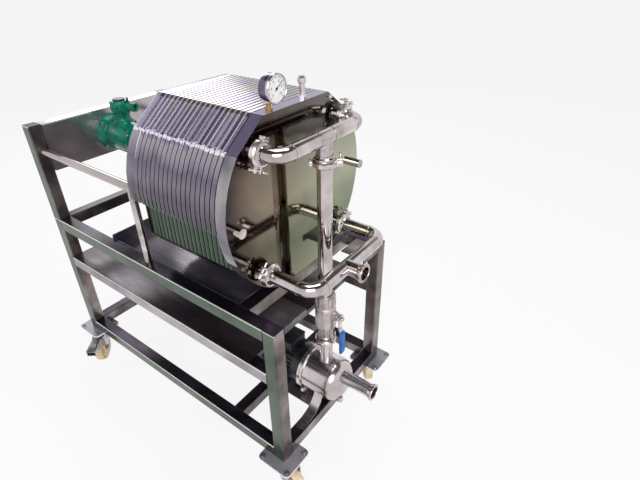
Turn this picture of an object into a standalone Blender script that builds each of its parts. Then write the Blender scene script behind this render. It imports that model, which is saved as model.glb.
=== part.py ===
"""Plate filter press on a castor trolley: a pack of round-sided filter plates squeezed between two heads
by a screw jack, with its feed pump, manifolds and drip trays, all in metres with +Z up.

X runs from the jack end to the manifold end, Y from the left side to the right, Z up from the floor.
"""

import math

import bmesh
import bpy
from mathutils import Matrix, Vector

# Castors, with the direction in which each trails, in degrees from +X
WHEEL_RADIUS = 0.050
WHEEL_WIDTH = 0.030
AXLE_RADIUS = 0.006
AXLE_CLEARANCE = 0.0005
TRAIL = 0.035
FORK_THICKNESS = 0.003
FORK_INSIDE = 0.037
FORK_BACK = 0.022
AXLE_BOSS_RADIUS = 0.012
CROWN_CLEARANCE = 0.008
SWIVEL_HEIGHT = 0.028
SWIVEL_RADIUS = 0.030
PEDAL_REACH = 0.125
PEDAL_WIDTH = 0.034
PEDAL_THICKNESS = 0.006
PEDAL_DROP = 0.020
CASTOR_DIRECTIONS = {"rear_left": -50, "rear_right": 50, "front_left": -10, "front_right": 130}

# Square-tube trolley on its mounting pads
SEAT = 0.0003
TUBE = 0.038
TUBE_CORNER = 0.003
FRAME_LENGTH = 0.982
FRAME_WIDTH = 0.514
SHELF_TOP = 0.470
RAIL_TOP = 0.618
PUMP_CROSS_SETBACK = 0.1935
PAD_LENGTH = 0.114
PAD_WIDTH = 0.102
PAD_THICKNESS = 0.006
PAD_CORNER = 0.012

# Press beam, guide rods and heads
BEAM_HEIGHT = 0.150
BEAM_THICKNESS = 0.040
BEAM_FACE_X = 0.048
POST_ABOVE_ROD = 0.080
ROD_RADIUS = 0.012
ROD_INSET = 0.021
ROD_PAST_HEAD = 0.035
ROD_PROP_RADIUS = 0.0105
ROD_PROP_X = 0.491
HEAD_SETBACK = 0.112
HEAD_THICKNESS = 0.033
HEAD_FOOT_CUT = 0.021

# Filter plates, as many as fill the press between its heads with the screw run out so far
PLATE_PITCH = 0.016
SEAM_WIDTH = 0.003
SEAM_DEPTH = 0.004
PLATE_OVERHANG = 0.001
PLATE_CORNER_ANGLE = 37.75
PLATE_TOP_CUT = 0.034
PLATE_TOP_HALF = 0.117
PLATE_FOOT_GAP = 0.010
NOTCH_CLEARANCE = 0.002
EAR_BOTTOM = 0.017
PORT_INSET = 0.036
SCREW_SHOWN = 0.143

# Screw jack
JACK_LENGTH = 0.325
JACK_BASE_RADIUS = 0.065
JACK_NOZZLE_RADIUS = 0.030
JACK_RIB_COUNT = 6
JACK_RIB_WIDTH = 0.007
SCREW_RADIUS = 0.0175
SCREW_CLEARANCE = 0.0005
SCREW_INSIDE = 0.165
BORE_BOTTOM = 0.018
NECK_RADIUS = 0.024
NECK_SETOUT = 0.079
NECK_TOP = 0.080
RATCHET_RADIUS = 0.030
RATCHET_HEIGHT = 0.036
CAP_RADIUS = 0.019
CAP_HEIGHT = 0.005
SOCKET_RADIUS = 0.0135
SOCKET_BORE = 0.009
SOCKET_DEPTH = 0.038
SOCKET_REACH = 0.064
SOCKET_TURN = 15

# Pipework
MANIFOLD_RADIUS = 0.0159
RISER_RADIUS = 0.0195
RISER_SETOUT = 0.073
LOWER_RUN_SETOUT = 0.0805
OUTLET_OFFSET = 0.019
OUTLET_LENGTH = 0.0535
BEND_RADIUS = 0.040
CLAMP_SETOUT = 0.022
CLAMP_RADIUS = 0.031
CLAMP_LENGTH = 0.016
CLAMP_LUG_WIDTH = 0.022
CLAMP_LUG_REACH = 0.011
FERRULE_RADIUS = 0.02525
FERRULE_LENGTH = 0.006
TEE_DROP = 0.061

# Feed pump with its motor, base plate and valve
PUMP_AXIS_RISE = 0.071
PUMP_RADIUS = 0.068
PUMP_SETBACK = 0.067
PUMP_LENGTH = 0.109
PUMP_DOME = 0.036
BAND_RADIUS = 0.074
BAND_LENGTH = 0.016
BAND_LUG = 0.012
DRAIN_RADIUS = 0.009
DRAIN_REACH = 0.004
INLET_RISE = 0.030
INLET_RADIUS = 0.0205
INLET_LENGTH = 0.1304
MOTOR_RADIUS = 0.066
MOTOR_LENGTH = 0.185
MOTOR_FIN_COUNT = 18
MOTOR_FIN_DEPTH = 0.007
TERMINAL_BOX_WIDTH = 0.074
TERMINAL_BOX_RISE = 0.024
PUMP_CLAMP_RISE = 0.150
VALVE_NECK_LENGTH = 0.0475
VALVE_LENGTH = 0.0805
VALVE_RADIUS = 0.030
VALVE_NECK_RADIUS = 0.018
UNION_RADIUS = 0.029
UNION_LENGTH = 0.041
UNION_FLUTES = 12
STEM_RISE = 0.0545
STEM_RADIUS = 0.012
LEVER_SETOUT = 0.049
LEVER_HUB_RADIUS = 0.014
LEVER_LENGTH = 0.127
LEVER_WIDTH = 0.020
LEVER_THICKNESS = 0.010
BASE_PLATE_WIDTH = 0.152
BASE_PLATE_THICKNESS = 0.005

# Trays, gussets, gauge and vent
UPPER_TRAY_BACK_X = 0.285
TRAY_DEPTH = 0.026
TRAY_WALL = 0.003
TRAY_LIP = 0.012
LOWER_TRAY_SETBACK = 0.063
GUSSET_SETBACK = 0.041
GUSSET_WIDTH = 0.085
GUSSET_FOLD = 0.020
GAUGE_OFFSET = 0.081
GAUGE_RADIUS = 0.0365
GAUGE_DEPTH = 0.034
GAUGE_STEM_LENGTH = 0.0145
GAUGE_STEM_RADIUS = 0.009
VENT_OFFSET = 0.036
VENT_LENGTH = 0.029
VENT_RADIUS = 0.007
VENT_CAP_RADIUS = 0.0135
VENT_CAP_LENGTH = 0.022

# Places along the press that follow from the sizes above
FRONT_X = FRAME_LENGTH - TUBE
PUMP_CROSS_X = FRONT_X - PUMP_CROSS_SETBACK
LOWER_TRAY_FRONT_X = FRONT_X - LOWER_TRAY_SETBACK
GUSSET_BACK_X = FRONT_X - GUSSET_SETBACK
HEAD_FACE_X = FRAME_LENGTH - HEAD_SETBACK
HEAD_BACK_X = HEAD_FACE_X - HEAD_THICKNESS
HEAD_MIDDLE_X = HEAD_FACE_X - HEAD_THICKNESS / 2
JACK_MOUTH_X = BEAM_FACE_X + JACK_LENGTH
NECK_X = BEAM_FACE_X + NECK_SETOUT
PACK_SPACE = HEAD_BACK_X - HEAD_THICKNESS - SCREW_SHOWN - JACK_MOUTH_X
PLATE_COUNT = round(PACK_SPACE / PLATE_PITCH)
PACK_BACK_X = HEAD_BACK_X - PLATE_COUNT * PLATE_PITCH
MOVABLE_BACK_X = PACK_BACK_X - HEAD_THICKNESS
CLAMP_X = HEAD_FACE_X + CLAMP_SETOUT
RISER_X = HEAD_FACE_X + RISER_SETOUT
LOWER_RUN_X = RISER_X + LOWER_RUN_SETOUT
OUTLET_FACE_X = LOWER_RUN_X + OUTLET_LENGTH
LEVER_X = RISER_X + LEVER_SETOUT
PUMP_BACK_X = RISER_X - PUMP_SETBACK
PUMP_FRONT_X = PUMP_BACK_X + PUMP_LENGTH
INLET_FACE_X = PUMP_FRONT_X + INLET_LENGTH
ORIGIN_X = (INLET_FACE_X - (PAD_LENGTH - TUBE) / 2) / 2

# Places across the press and above the floor
RIGHT_Y = FRAME_WIDTH - TUBE
MIDDLE_Y = FRAME_WIDTH / 2
OUTLET_Y = MIDDLE_Y - OUTLET_OFFSET
GAUGE_Y = MIDDLE_Y - GAUGE_OFFSET
VENT_Y = MIDDLE_Y + VENT_OFFSET
FORK_CROWN_HEIGHT = 2 * WHEEL_RADIUS + CROWN_CLEARANCE
LEG_BOTTOM = FORK_CROWN_HEIGHT + SWIVEL_HEIGHT
BASE_TOP = LEG_BOTTOM + TUBE
BASE_PLATE_TOP = BASE_TOP - TUBE / 4
TRAY_FLOOR = RAIL_TOP - TRAY_DEPTH
PLATE_RADIUS = MIDDLE_Y + PLATE_OVERHANG
PORT_OFFSET = (PLATE_RADIUS - PORT_INSET) * math.sqrt(0.5)
ROD_HEIGHT = RAIL_TOP + PLATE_RADIUS - HEAD_FOOT_CUT
POST_TOP = ROD_HEIGHT + POST_ABOVE_ROD
RATCHET_BASE = ROD_HEIGHT + NECK_TOP
HEAD_TOP = ROD_HEIGHT + PLATE_RADIUS - PLATE_TOP_CUT
UPPER_PORT_Z = ROD_HEIGHT + PORT_OFFSET
LOWER_PORT_Z = ROD_HEIGHT - PORT_OFFSET
TEE_CLAMP_HEIGHT = UPPER_PORT_Z - TEE_DROP
GAUGE_HEIGHT = HEAD_TOP + GAUGE_STEM_LENGTH + GAUGE_RADIUS
VENT_CAP_BOTTOM = HEAD_TOP + VENT_LENGTH
VENT_CAP_TOP = VENT_CAP_BOTTOM + VENT_CAP_LENGTH
PUMP_AXIS_Z = BASE_TOP + PUMP_AXIS_RISE
PUMP_CLAMP_HEIGHT = PUMP_AXIS_Z + PUMP_CLAMP_RISE
VALVE_BOTTOM = PUMP_CLAMP_HEIGHT + VALVE_NECK_LENGTH
VALVE_TOP = VALVE_BOTTOM + VALVE_LENGTH
UNION_TOP = VALVE_TOP + UNION_LENGTH
LEVER_HEIGHT = VALVE_BOTTOM + STEM_RISE

for leftover in list(bpy.data.objects):
    bpy.data.objects.remove(leftover, do_unlink=True)

parts = bpy.data.collections.new("plate_filter_press")
helpers = bpy.data.collections.new("cutters_and_joined_shapes")
helpers.hide_render = True
bpy.context.scene.collection.children.link(parts)
bpy.context.scene.collection.children.link(helpers)

trolley_corner = bpy.data.objects.new("trolley_rear_left_corner", None)
trolley_corner.location = (-ORIGIN_X, -MIDDLE_Y, 0)
parts.objects.link(trolley_corner)


def material(name, colour, roughness, metallic):
    made = bpy.data.materials.new(name)
    made.use_nodes = True
    shader = made.node_tree.nodes["Principled BSDF"]
    shader.inputs["Base Color"].default_value = (*colour, 1)
    shader.inputs["Roughness"].default_value = roughness
    shader.inputs["Metallic"].default_value = metallic
    return made


POLISHED = material("polished_stainless", (0.62, 0.61, 0.60), 0.12, 1)
BRUSHED = material("brushed_stainless", (0.60, 0.59, 0.60), 0.35, 1)
GREEN_ENAMEL = material("green_enamel", (0.00, 0.20, 0.12), 0.30, 0)
BLACK_PAINT = material("black_motor_paint", (0.015, 0.015, 0.02), 0.45, 0)
WHITE_DIAL = material("gauge_dial", (0.75, 0.75, 0.72), 0.35, 0)
ZINC = material("zinc_plated_steel", (0.55, 0.55, 0.56), 0.35, 1)
NYLON = material("ivory_nylon", (0.80, 0.72, 0.58), 0.45, 0)


def place(name, mesh, finish, location=(0, 0, 0), rotation=(0, 0, 0), parent=trolley_corner):
    made = bpy.data.objects.new(name, mesh)
    made.parent = parent
    made.location = location
    made.rotation_euler = rotation
    if finish is not None:
        mesh.materials.append(finish)
    parts.objects.link(made)
    return made


def mesh_of(shape, name):
    mesh = bpy.data.meshes.new(name)
    shape.to_mesh(mesh)
    shape.free()
    return mesh


def smooth(made, angle=35):
    made.data.shade_smooth()
    made.data.set_sharp_from_angle(angle=math.radians(angle))
    return made


def block(name, low, high, finish=None, corner=0.0, axis=None, parent=trolley_corner):
    """A box, with its edges along one axis rounded: the longest axis unless another is named."""
    low, high = Vector(low), Vector(high)
    size = high - low
    along = max(range(3), key=lambda side: size[side]) if axis is None else axis
    shape = bmesh.new()
    bmesh.ops.create_cube(shape, size=1, matrix=Matrix.Diagonal((*size, 1)))
    if corner:
        edges = [e for e in shape.edges if abs((e.verts[0].co - e.verts[1].co)[along]) > size[along] / 2]
        bmesh.ops.bevel(shape, geom=edges, offset=corner, segments=2, profile=0.5, affect="EDGES")
    return place(name, mesh_of(shape, name), finish, (low + high) / 2, parent=parent)


def rod(name, start, end, radius, finish=None, sides=24, parent=trolley_corner):
    """A round bar between two points."""
    start, end = Vector(start), Vector(end)
    shape = bmesh.new()
    bmesh.ops.create_cone(
        shape, cap_ends=True, segments=sides, radius1=radius, radius2=radius, depth=(end - start).length
    )
    turn = (end - start).to_track_quat("Z", "Y").to_euler()
    return smooth(place(name, mesh_of(shape, name), finish, (start + end) / 2, turn, parent))


def turned(name, profile, finish, location, axis=(0, 0, 1), sides=32):
    """A turned shape, from (radius, height) pairs that run down its outer side along the axis."""
    shape = bmesh.new()
    points = [shape.verts.new((radius, 0, height)) for radius, height in profile]
    is_ring = profile[0][0] > 0 and profile[-1][0] > 0
    for start, end in zip(points, points[1:] + points[:1] if is_ring else points[1:]):
        shape.edges.new((start, end))
    turn = Vector(axis).to_track_quat("Z", "Y").to_euler()
    made = place(name, mesh_of(shape, name), finish, location, turn)
    screw = made.modifiers.new("turn", "SCREW")
    screw.steps = sides
    screw.render_steps = sides
    screw.use_merge_vertices = True
    screw.merge_threshold = 0.00001
    return made


def as_mesh(made):
    """The evaluated shape as a plain mesh object, which a Boolean can use."""
    bpy.context.view_layer.update()
    graph = bpy.context.evaluated_depsgraph_get()
    mesh = bpy.data.meshes.new_from_object(made.evaluated_get(graph))
    shape = bmesh.new()
    shape.from_mesh(mesh)
    bmesh.ops.remove_doubles(shape, verts=shape.verts, dist=0.000001)
    bmesh.ops.recalc_face_normals(shape, faces=shape.faces)
    shape.to_mesh(mesh)
    shape.free()
    name = made.name
    solid = bpy.data.objects.new(name + "_solid", mesh)
    solid.parent = made.parent
    solid.matrix_world = made.matrix_world
    parts.objects.link(solid)
    bpy.data.objects.remove(made, do_unlink=True)
    solid.name = name
    return solid


def combine(target, operation, others):
    """Joins or cuts the target with other shapes, which become helpers out of the render."""
    for other in others:
        parts.objects.unlink(other)
        helpers.objects.link(other)
        other.hide_render = True
        other.display_type = "WIRE"
        step = target.modifiers.new(f"{operation.lower()}_{other.name}", "BOOLEAN")
        step.operation = operation
        step.solver = "EXACT"
        step.object = other
    return target


def joined(target, *others):
    return combine(target, "UNION", others)


def cut(target, *others):
    return combine(target, "DIFFERENCE", others)


def arc(radius, start, end, steps, centre=(0, 0)):
    """Points on a circle between two angles in degrees, with both ends."""
    angles = [math.radians(start + (end - start) * step / steps) for step in range(steps + 1)]
    return [(centre[0] + radius * math.cos(a), centre[1] + radius * math.sin(a)) for a in angles]


def pipe(name, points, radius, finish=None):
    """A bent round pipe along a line of points."""
    curve = bpy.data.curves.new(name, "CURVE")
    curve.dimensions = "3D"
    curve.bevel_depth = radius
    curve.bevel_resolution = 3
    curve.use_fill_caps = True
    line = curve.splines.new("POLY")
    line.points.add(len(points) - 1)
    for point, position in zip(line.points, points):
        point.co = (*position, 1)
    made = bpy.data.objects.new(name, curve)
    made.parent = trolley_corner
    if finish is not None:
        curve.materials.append(finish)
    parts.objects.link(made)
    return smooth(as_mesh(made))


def prism(name, outline, back_x, front_x, finish=None, turn=0.0, parent=trolley_corner):
    """A flat plate from its outline in Y and Z, then turned about Z by an angle in degrees."""
    shape = bmesh.new()
    face = shape.faces.new([shape.verts.new((back_x, y, z)) for y, z in outline])
    grown = bmesh.ops.extrude_face_region(shape, geom=[face])
    moved = [v for v in grown["geom"] if isinstance(v, bmesh.types.BMVert)]
    bmesh.ops.translate(shape, verts=moved, vec=(front_x - back_x, 0, 0))
    bmesh.ops.recalc_face_normals(shape, faces=shape.faces)
    return place(name, mesh_of(shape, name), finish, rotation=(0, 0, math.radians(turn)), parent=parent)


# Trolley frame of square tube, each tube seated between the ones it is welded to
def upright(name, x, y, top):
    """A post or leg with the castor's mounting pad welded under it."""
    low = (x, y, LEG_BOTTOM - PAD_THICKNESS / 2)
    tube = block(name, low, (x + TUBE, y + TUBE, top), BRUSHED, TUBE_CORNER)
    centre = Vector((x + TUBE / 2, y + TUBE / 2, LEG_BOTTOM - SEAT - PAD_THICKNESS / 2))
    half = Vector((PAD_LENGTH, PAD_WIDTH, PAD_THICKNESS)) / 2
    return joined(tube, block(name + "_pad", centre - half, centre + half, corner=PAD_CORNER, axis=2))


def cross_tube(name, back_x, top):
    low = (back_x, TUBE + SEAT, top - TUBE)
    return block(name, low, (back_x + TUBE, RIGHT_Y - SEAT, top), BRUSHED, TUBE_CORNER)


SIDES = {"left": 0.0, "right": RIGHT_Y}
for side, side_y in SIDES.items():
    upright(f"rear_post_{side}", 0.0, side_y, POST_TOP)
    upright(f"front_leg_{side}", FRONT_X, side_y, RAIL_TOP)
    for level, top in (("upper", RAIL_TOP), ("middle", SHELF_TOP), ("bottom", BASE_TOP)):
        rail_low = (TUBE + SEAT, side_y, top - TUBE)
        block(f"{level}_rail_{side}", rail_low, (FRONT_X - SEAT, side_y + TUBE, top), BRUSHED, TUBE_CORNER)

cross_tube("rear_upper_cross", 0.0, RAIL_TOP)
cross_tube("rear_bottom_cross", 0.0, BASE_TOP)
cross_tube("front_bottom_cross", FRONT_X, BASE_TOP)
cross_tube("pump_cross", PUMP_CROSS_X, BASE_TOP)
cross_tube("head_cross_tube", HEAD_FACE_X - TUBE, RAIL_TOP)
beam_low = (BEAM_FACE_X - BEAM_THICKNESS, TUBE + SEAT, POST_TOP - BEAM_HEIGHT)
block("press_beam", beam_low, (BEAM_FACE_X, RIGHT_Y - SEAT, POST_TOP), BRUSHED, TUBE_CORNER)

# Guide rods from the rear posts through the fixed head, each on a prop that stands on its upper rail
ROD_YS = {"left": ROD_INSET, "right": FRAME_WIDTH - ROD_INSET}
for side, rod_y in ROD_YS.items():
    rod_ends = [(TUBE + SEAT, rod_y, ROD_HEIGHT), (HEAD_FACE_X + ROD_PAST_HEAD, rod_y, ROD_HEIGHT)]
    guide = rod(f"guide_rod_{side}", *rod_ends, ROD_RADIUS, POLISHED)
    prop_ends = [(ROD_PROP_X, rod_y, RAIL_TOP + SEAT), (ROD_PROP_X, rod_y, ROD_HEIGHT)]
    joined(guide, rod(f"rod_prop_{side}", *prop_ends, ROD_PROP_RADIUS))


# Heads and filter plates
def mirrored(right_half):
    """The whole outline in frame coordinates, from its right half about the plate's centre."""
    left_half = [(-y, z) for y, z in reversed(right_half)]
    return [(MIDDLE_Y + y, ROD_HEIGHT + z) for y, z in right_half + left_half]


def fixed_head_outline():
    """Round sides, a flat top with sloping corners, and a flat foot on the cross tube."""
    foot = math.degrees(math.asin((RAIL_TOP + SEAT - ROD_HEIGHT) / PLATE_RADIUS))
    top = (PLATE_TOP_HALF, PLATE_RADIUS - PLATE_TOP_CUT)
    return mirrored([top] + arc(PLATE_RADIUS, PLATE_CORNER_ANGLE, foot, 14))


def plate_outline(inset):
    """The head's outline with an ear at each side that hooks over a guide rod, drawn in by the inset."""
    radius = PLATE_RADIUS - inset
    rod_y = MIDDLE_Y - ROD_INSET
    reach = ROD_RADIUS + NOTCH_CLEARANCE
    ear = math.degrees(math.asin(-EAR_BOTTOM / radius))
    inner = rod_y - reach - inset
    flank = -math.degrees(math.acos(inner / radius))
    foot = math.degrees(math.asin((RAIL_TOP + PLATE_FOOT_GAP + inset - ROD_HEIGHT) / radius))
    half = [(PLATE_TOP_HALF - inset / 2, radius - PLATE_TOP_CUT)]
    half += arc(radius, PLATE_CORNER_ANGLE, ear, 5)
    half += arc(reach, 0, 90, 3, centre=(rod_y, 0))
    half += [(inner, reach + inset), (inner, -EAR_BOTTOM)]
    half += arc(radius, flank, foot, 6)
    return mirrored(half)


fixed_head = prism("fixed_head", fixed_head_outline(), HEAD_BACK_X, HEAD_FACE_X, POLISHED)
for side, rod_y in ROD_YS.items():
    hole_ends = [(HEAD_BACK_X - TUBE, rod_y, ROD_HEIGHT), (HEAD_FACE_X + TUBE, rod_y, ROD_HEIGHT)]
    cut(fixed_head, rod(f"rod_hole_{side}", *hole_ends, ROD_RADIUS + SEAT))
prism("movable_head", plate_outline(0), MOVABLE_BACK_X, PACK_BACK_X - SEAT, BRUSHED)

pack = bmesh.new()
rings = []
for number in range(PLATE_COUNT):
    plate_x = PACK_BACK_X + number * PLATE_PITCH
    seam_x = plate_x + PLATE_PITCH - SEAM_WIDTH / 2
    for ring_x, inset in ((plate_x, 0), (seam_x - SEAM_WIDTH / 2, 0), (seam_x, SEAM_DEPTH)):
        rings.append([pack.verts.new((ring_x, y, z)) for y, z in plate_outline(inset)])
rings.pop()
for back, front in zip(rings, rings[1:]):
    for corner in range(len(back)):
        following = (corner + 1) % len(back)
        pack.faces.new((back[corner], back[following], front[following], front[corner]))
pack.faces.new(rings[0])
pack.faces.new(rings[-1])
bmesh.ops.recalc_face_normals(pack, faces=pack.faces)
place("filter_plates", mesh_of(pack, "filter_plates"), BRUSHED)

# Screw jack bolted to the press beam, with the screw that pushes the movable head
bore_radius = SCREW_RADIUS + SCREW_CLEARANCE
jack_profile = [
    (0, BORE_BOTTOM),
    (bore_radius, BORE_BOTTOM),
    (bore_radius, JACK_LENGTH),
    (JACK_NOZZLE_RADIUS * 0.94, JACK_LENGTH),
    (JACK_NOZZLE_RADIUS * 1.06, JACK_LENGTH * 0.985),
    (JACK_NOZZLE_RADIUS * 1.06, JACK_LENGTH * 0.94),
    (JACK_NOZZLE_RADIUS, JACK_LENGTH * 0.76),
    (JACK_BASE_RADIUS * 0.66, JACK_LENGTH * 0.47),
    (JACK_BASE_RADIUS * 0.74, JACK_LENGTH * 0.46),
    (JACK_BASE_RADIUS * 0.74, JACK_LENGTH * 0.43),
    (JACK_BASE_RADIUS * 0.82, JACK_LENGTH * 0.38),
    (JACK_BASE_RADIUS * 0.90, JACK_LENGTH * 0.20),
    (JACK_BASE_RADIUS * 0.92, JACK_LENGTH * 0.06),
    (JACK_BASE_RADIUS, JACK_LENGTH * 0.04),
    (JACK_BASE_RADIUS, SEAT),
    (0, SEAT),
]
jack_place = (BEAM_FACE_X, MIDDLE_Y, ROD_HEIGHT)
jack_body = turned("jack_body", jack_profile, GREEN_ENAMEL, jack_place, (1, 0, 0), sides=28)
neck_ends = [(NECK_X, MIDDLE_Y, ROD_HEIGHT + JACK_NOZZLE_RADIUS), (NECK_X, MIDDLE_Y, RATCHET_BASE)]
jack_pieces = [rod("jack_neck", *neck_ends, NECK_RADIUS)]
for number in range(JACK_RIB_COUNT):
    rib_low = (JACK_LENGTH * 0.10, -JACK_RIB_WIDTH / 2, JACK_BASE_RADIUS * 0.6)
    rib_high = (JACK_LENGTH * 0.42, JACK_RIB_WIDTH / 2, JACK_BASE_RADIUS * 0.9)
    rib = block(f"jack_rib_{number}", rib_low, rib_high)
    turn = Matrix.Rotation(math.tau * (number + 0.5) / JACK_RIB_COUNT, 4, "X")
    rib.matrix_basis = Matrix.Translation(jack_place) @ turn @ rib.matrix_basis
    jack_pieces.append(rib)
joined(jack_body, *jack_pieces)

ratchet_profile = [
    (0, SEAT + RATCHET_HEIGHT + CAP_HEIGHT),
    (CAP_RADIUS * 0.8, SEAT + RATCHET_HEIGHT + CAP_HEIGHT),
    (CAP_RADIUS, SEAT + RATCHET_HEIGHT + CAP_HEIGHT / 2),
    (CAP_RADIUS, SEAT + RATCHET_HEIGHT),
    (RATCHET_RADIUS * 0.9, SEAT + RATCHET_HEIGHT),
    (RATCHET_RADIUS, SEAT + RATCHET_HEIGHT * 0.9),
    (RATCHET_RADIUS, SEAT + RATCHET_HEIGHT * 0.1),
    (RATCHET_RADIUS * 0.9, SEAT),
    (0, SEAT),
]
ratchet_place = Vector((NECK_X, MIDDLE_Y, RATCHET_BASE))
ratchet = turned("jack_ratchet", ratchet_profile, GREEN_ENAMEL, ratchet_place, sides=24)
socket_start = ratchet_place + Vector((0, 0, SEAT + RATCHET_HEIGHT / 2))
socket_heading = Vector((math.cos(math.radians(SOCKET_TURN)), math.sin(math.radians(SOCKET_TURN)), 0))
socket_mouth = socket_start + socket_heading * SOCKET_REACH
joined(ratchet, rod("handle_socket", socket_start, socket_mouth, SOCKET_RADIUS, sides=16))
bore_ends = [socket_mouth - socket_heading * SOCKET_DEPTH, socket_mouth + socket_heading * SOCKET_RADIUS]
cut(ratchet, rod("handle_bore", *bore_ends, SOCKET_BORE, sides=12))
screw_start = (JACK_MOUTH_X - SCREW_INSIDE, MIDDLE_Y, ROD_HEIGHT)
screw_end = (MOVABLE_BACK_X - SEAT, MIDDLE_Y, ROD_HEIGHT)
rod("jack_screw", screw_start, screw_end, SCREW_RADIUS, POLISHED)


# Pipework of bent tube with clamped ferrules
def manifold_route(run_x, z):
    """A line from the head's left port out to a run across the press and back to its right port."""
    left, right = MIDDLE_Y - PORT_OFFSET, MIDDLE_Y + PORT_OFFSET
    bend_x = run_x - BEND_RADIUS
    left_bend = arc(BEND_RADIUS, 180, 90, 6, centre=(left + BEND_RADIUS, bend_x))
    right_bend = arc(BEND_RADIUS, 90, 0, 6, centre=(right - BEND_RADIUS, bend_x))
    bends = [(x, y, z) for y, x in left_bend + right_bend]
    return [(HEAD_FACE_X + SEAT, left, z)] + bends + [(HEAD_FACE_X + SEAT, right, z)]


def clamp(name, centre, axis, bolt_side):
    """A clamp ring round two ferrules, with the lug where its bolt draws it together."""
    centre, axis, outward = Vector(centre), Vector(axis), Vector(bolt_side).normalized()
    half = axis * CLAMP_LENGTH / 2
    ring = rod(name, centre - half, centre + half, CLAMP_RADIUS)
    lug_low = (CLAMP_RADIUS * 0.8, -CLAMP_LUG_WIDTH / 2, -CLAMP_LENGTH * 0.4)
    lug_high = (CLAMP_RADIUS + CLAMP_LUG_REACH, CLAMP_LUG_WIDTH / 2, CLAMP_LENGTH * 0.4)
    lug = block(f"{name}_lug", lug_low, lug_high)
    turn = Matrix((outward, axis.cross(outward), axis)).transposed().to_4x4()
    lug.matrix_basis = Matrix.Translation(centre) @ turn @ lug.matrix_basis
    return [ring, lug]


def port_clamps(name, z, bolt_slopes):
    """The two clamps that hold a manifold to the head's ports, with each bolt on its outer side."""
    pieces = []
    for side, outward, slope in (("left", -1, bolt_slopes[0]), ("right", 1, bolt_slopes[1])):
        centre = (CLAMP_X, MIDDLE_Y + outward * PORT_OFFSET, z)
        pieces += clamp(f"{name}_clamp_{side}", centre, (1, 0, 0), (0, outward, slope))
    return pieces


tee_bottom = TEE_CLAMP_HEIGHT - CLAMP_LENGTH / 2
upper_route = manifold_route(RISER_X, UPPER_PORT_Z)
upper_manifold = pipe("upper_manifold", upper_route, MANIFOLD_RADIUS, POLISHED)
tee = rod("tee_stub", (RISER_X, MIDDLE_Y, UPPER_PORT_Z), (RISER_X, MIDDLE_Y, tee_bottom), RISER_RADIUS)
tee_clamp = clamp("tee_clamp", (RISER_X, MIDDLE_Y, TEE_CLAMP_HEIGHT), (0, 0, 1), (4, 3, 0))
joined(upper_manifold, tee, *tee_clamp, *port_clamps("upper", UPPER_PORT_Z, (-2, 2)))

riser_ends = [(RISER_X, MIDDLE_Y, UNION_TOP + SEAT), (RISER_X, MIDDLE_Y, tee_bottom - SEAT)]
rod("riser", *riser_ends, RISER_RADIUS, POLISHED)

lower_route = manifold_route(LOWER_RUN_X, LOWER_PORT_Z)
lower_manifold = pipe("lower_manifold", lower_route, MANIFOLD_RADIUS, POLISHED)
outlet_face = Vector((OUTLET_FACE_X, OUTLET_Y, LOWER_PORT_Z))
ferrule_back = outlet_face - Vector((FERRULE_LENGTH, 0, 0))
outlet_start = (LOWER_RUN_X, OUTLET_Y, LOWER_PORT_Z)
outlet = rod("outlet_stub", outlet_start, (outlet_face + ferrule_back) / 2, RISER_RADIUS)
outlet_ferrule = rod("outlet_ferrule", ferrule_back, outlet_face, FERRULE_RADIUS)
joined(lower_manifold, outlet, outlet_ferrule, *port_clamps("lower", LOWER_PORT_Z, (1, 1)))

# Feed pump on its base plate, with the outlet valve above it
pump_profile = [
    (0, PUMP_FRONT_X + PUMP_DOME),
    (PUMP_RADIUS * 0.35, PUMP_FRONT_X + PUMP_DOME * 0.95),
    (PUMP_RADIUS * 0.65, PUMP_FRONT_X + PUMP_DOME * 0.78),
    (PUMP_RADIUS * 0.88, PUMP_FRONT_X + PUMP_DOME * 0.48),
    (PUMP_RADIUS, PUMP_FRONT_X),
    (PUMP_RADIUS, PUMP_BACK_X + BAND_LENGTH * 1.4),
    (BAND_RADIUS, PUMP_BACK_X + BAND_LENGTH * 1.3),
    (BAND_RADIUS, PUMP_BACK_X + BAND_LENGTH * 0.3),
    (PUMP_RADIUS, PUMP_BACK_X),
    (0, PUMP_BACK_X),
]
pump = turned("pump_housing", pump_profile, POLISHED, (0, MIDDLE_Y, PUMP_AXIS_Z), (1, 0, 0), sides=32)
inlet_z = PUMP_AXIS_Z + INLET_RISE
inlet_face = Vector((INLET_FACE_X, MIDDLE_Y, inlet_z))
inlet_back = inlet_face - Vector((FERRULE_LENGTH, 0, 0))
inlet_start = (PUMP_FRONT_X, MIDDLE_Y, inlet_z)
inlet = rod("inlet_pipe", inlet_start, (inlet_face + inlet_back) / 2, INLET_RADIUS)
pump_clamp_top = PUMP_CLAMP_HEIGHT + CLAMP_LENGTH / 2
stub_ends = [(RISER_X, MIDDLE_Y, PUMP_AXIS_Z), (RISER_X, MIDDLE_Y, PUMP_CLAMP_HEIGHT)]
lug_low = (PUMP_BACK_X + BAND_LENGTH * 0.4, MIDDLE_Y - BAND_RADIUS - BAND_LUG, PUMP_AXIS_Z - BAND_LUG * 2)
lug_high = (PUMP_BACK_X + BAND_LENGTH * 1.2, MIDDLE_Y - BAND_RADIUS * 0.9, PUMP_AXIS_Z)
drain_slope = Vector((0.35, -0.25, -1)).normalized()
drain_middle = Vector((PUMP_FRONT_X, MIDDLE_Y, PUMP_AXIS_Z))
drain_reaches = (PUMP_RADIUS * 0.7, PUMP_RADIUS + DRAIN_REACH)
drain_ends = [drain_middle + drain_slope * reach for reach in drain_reaches]
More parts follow.
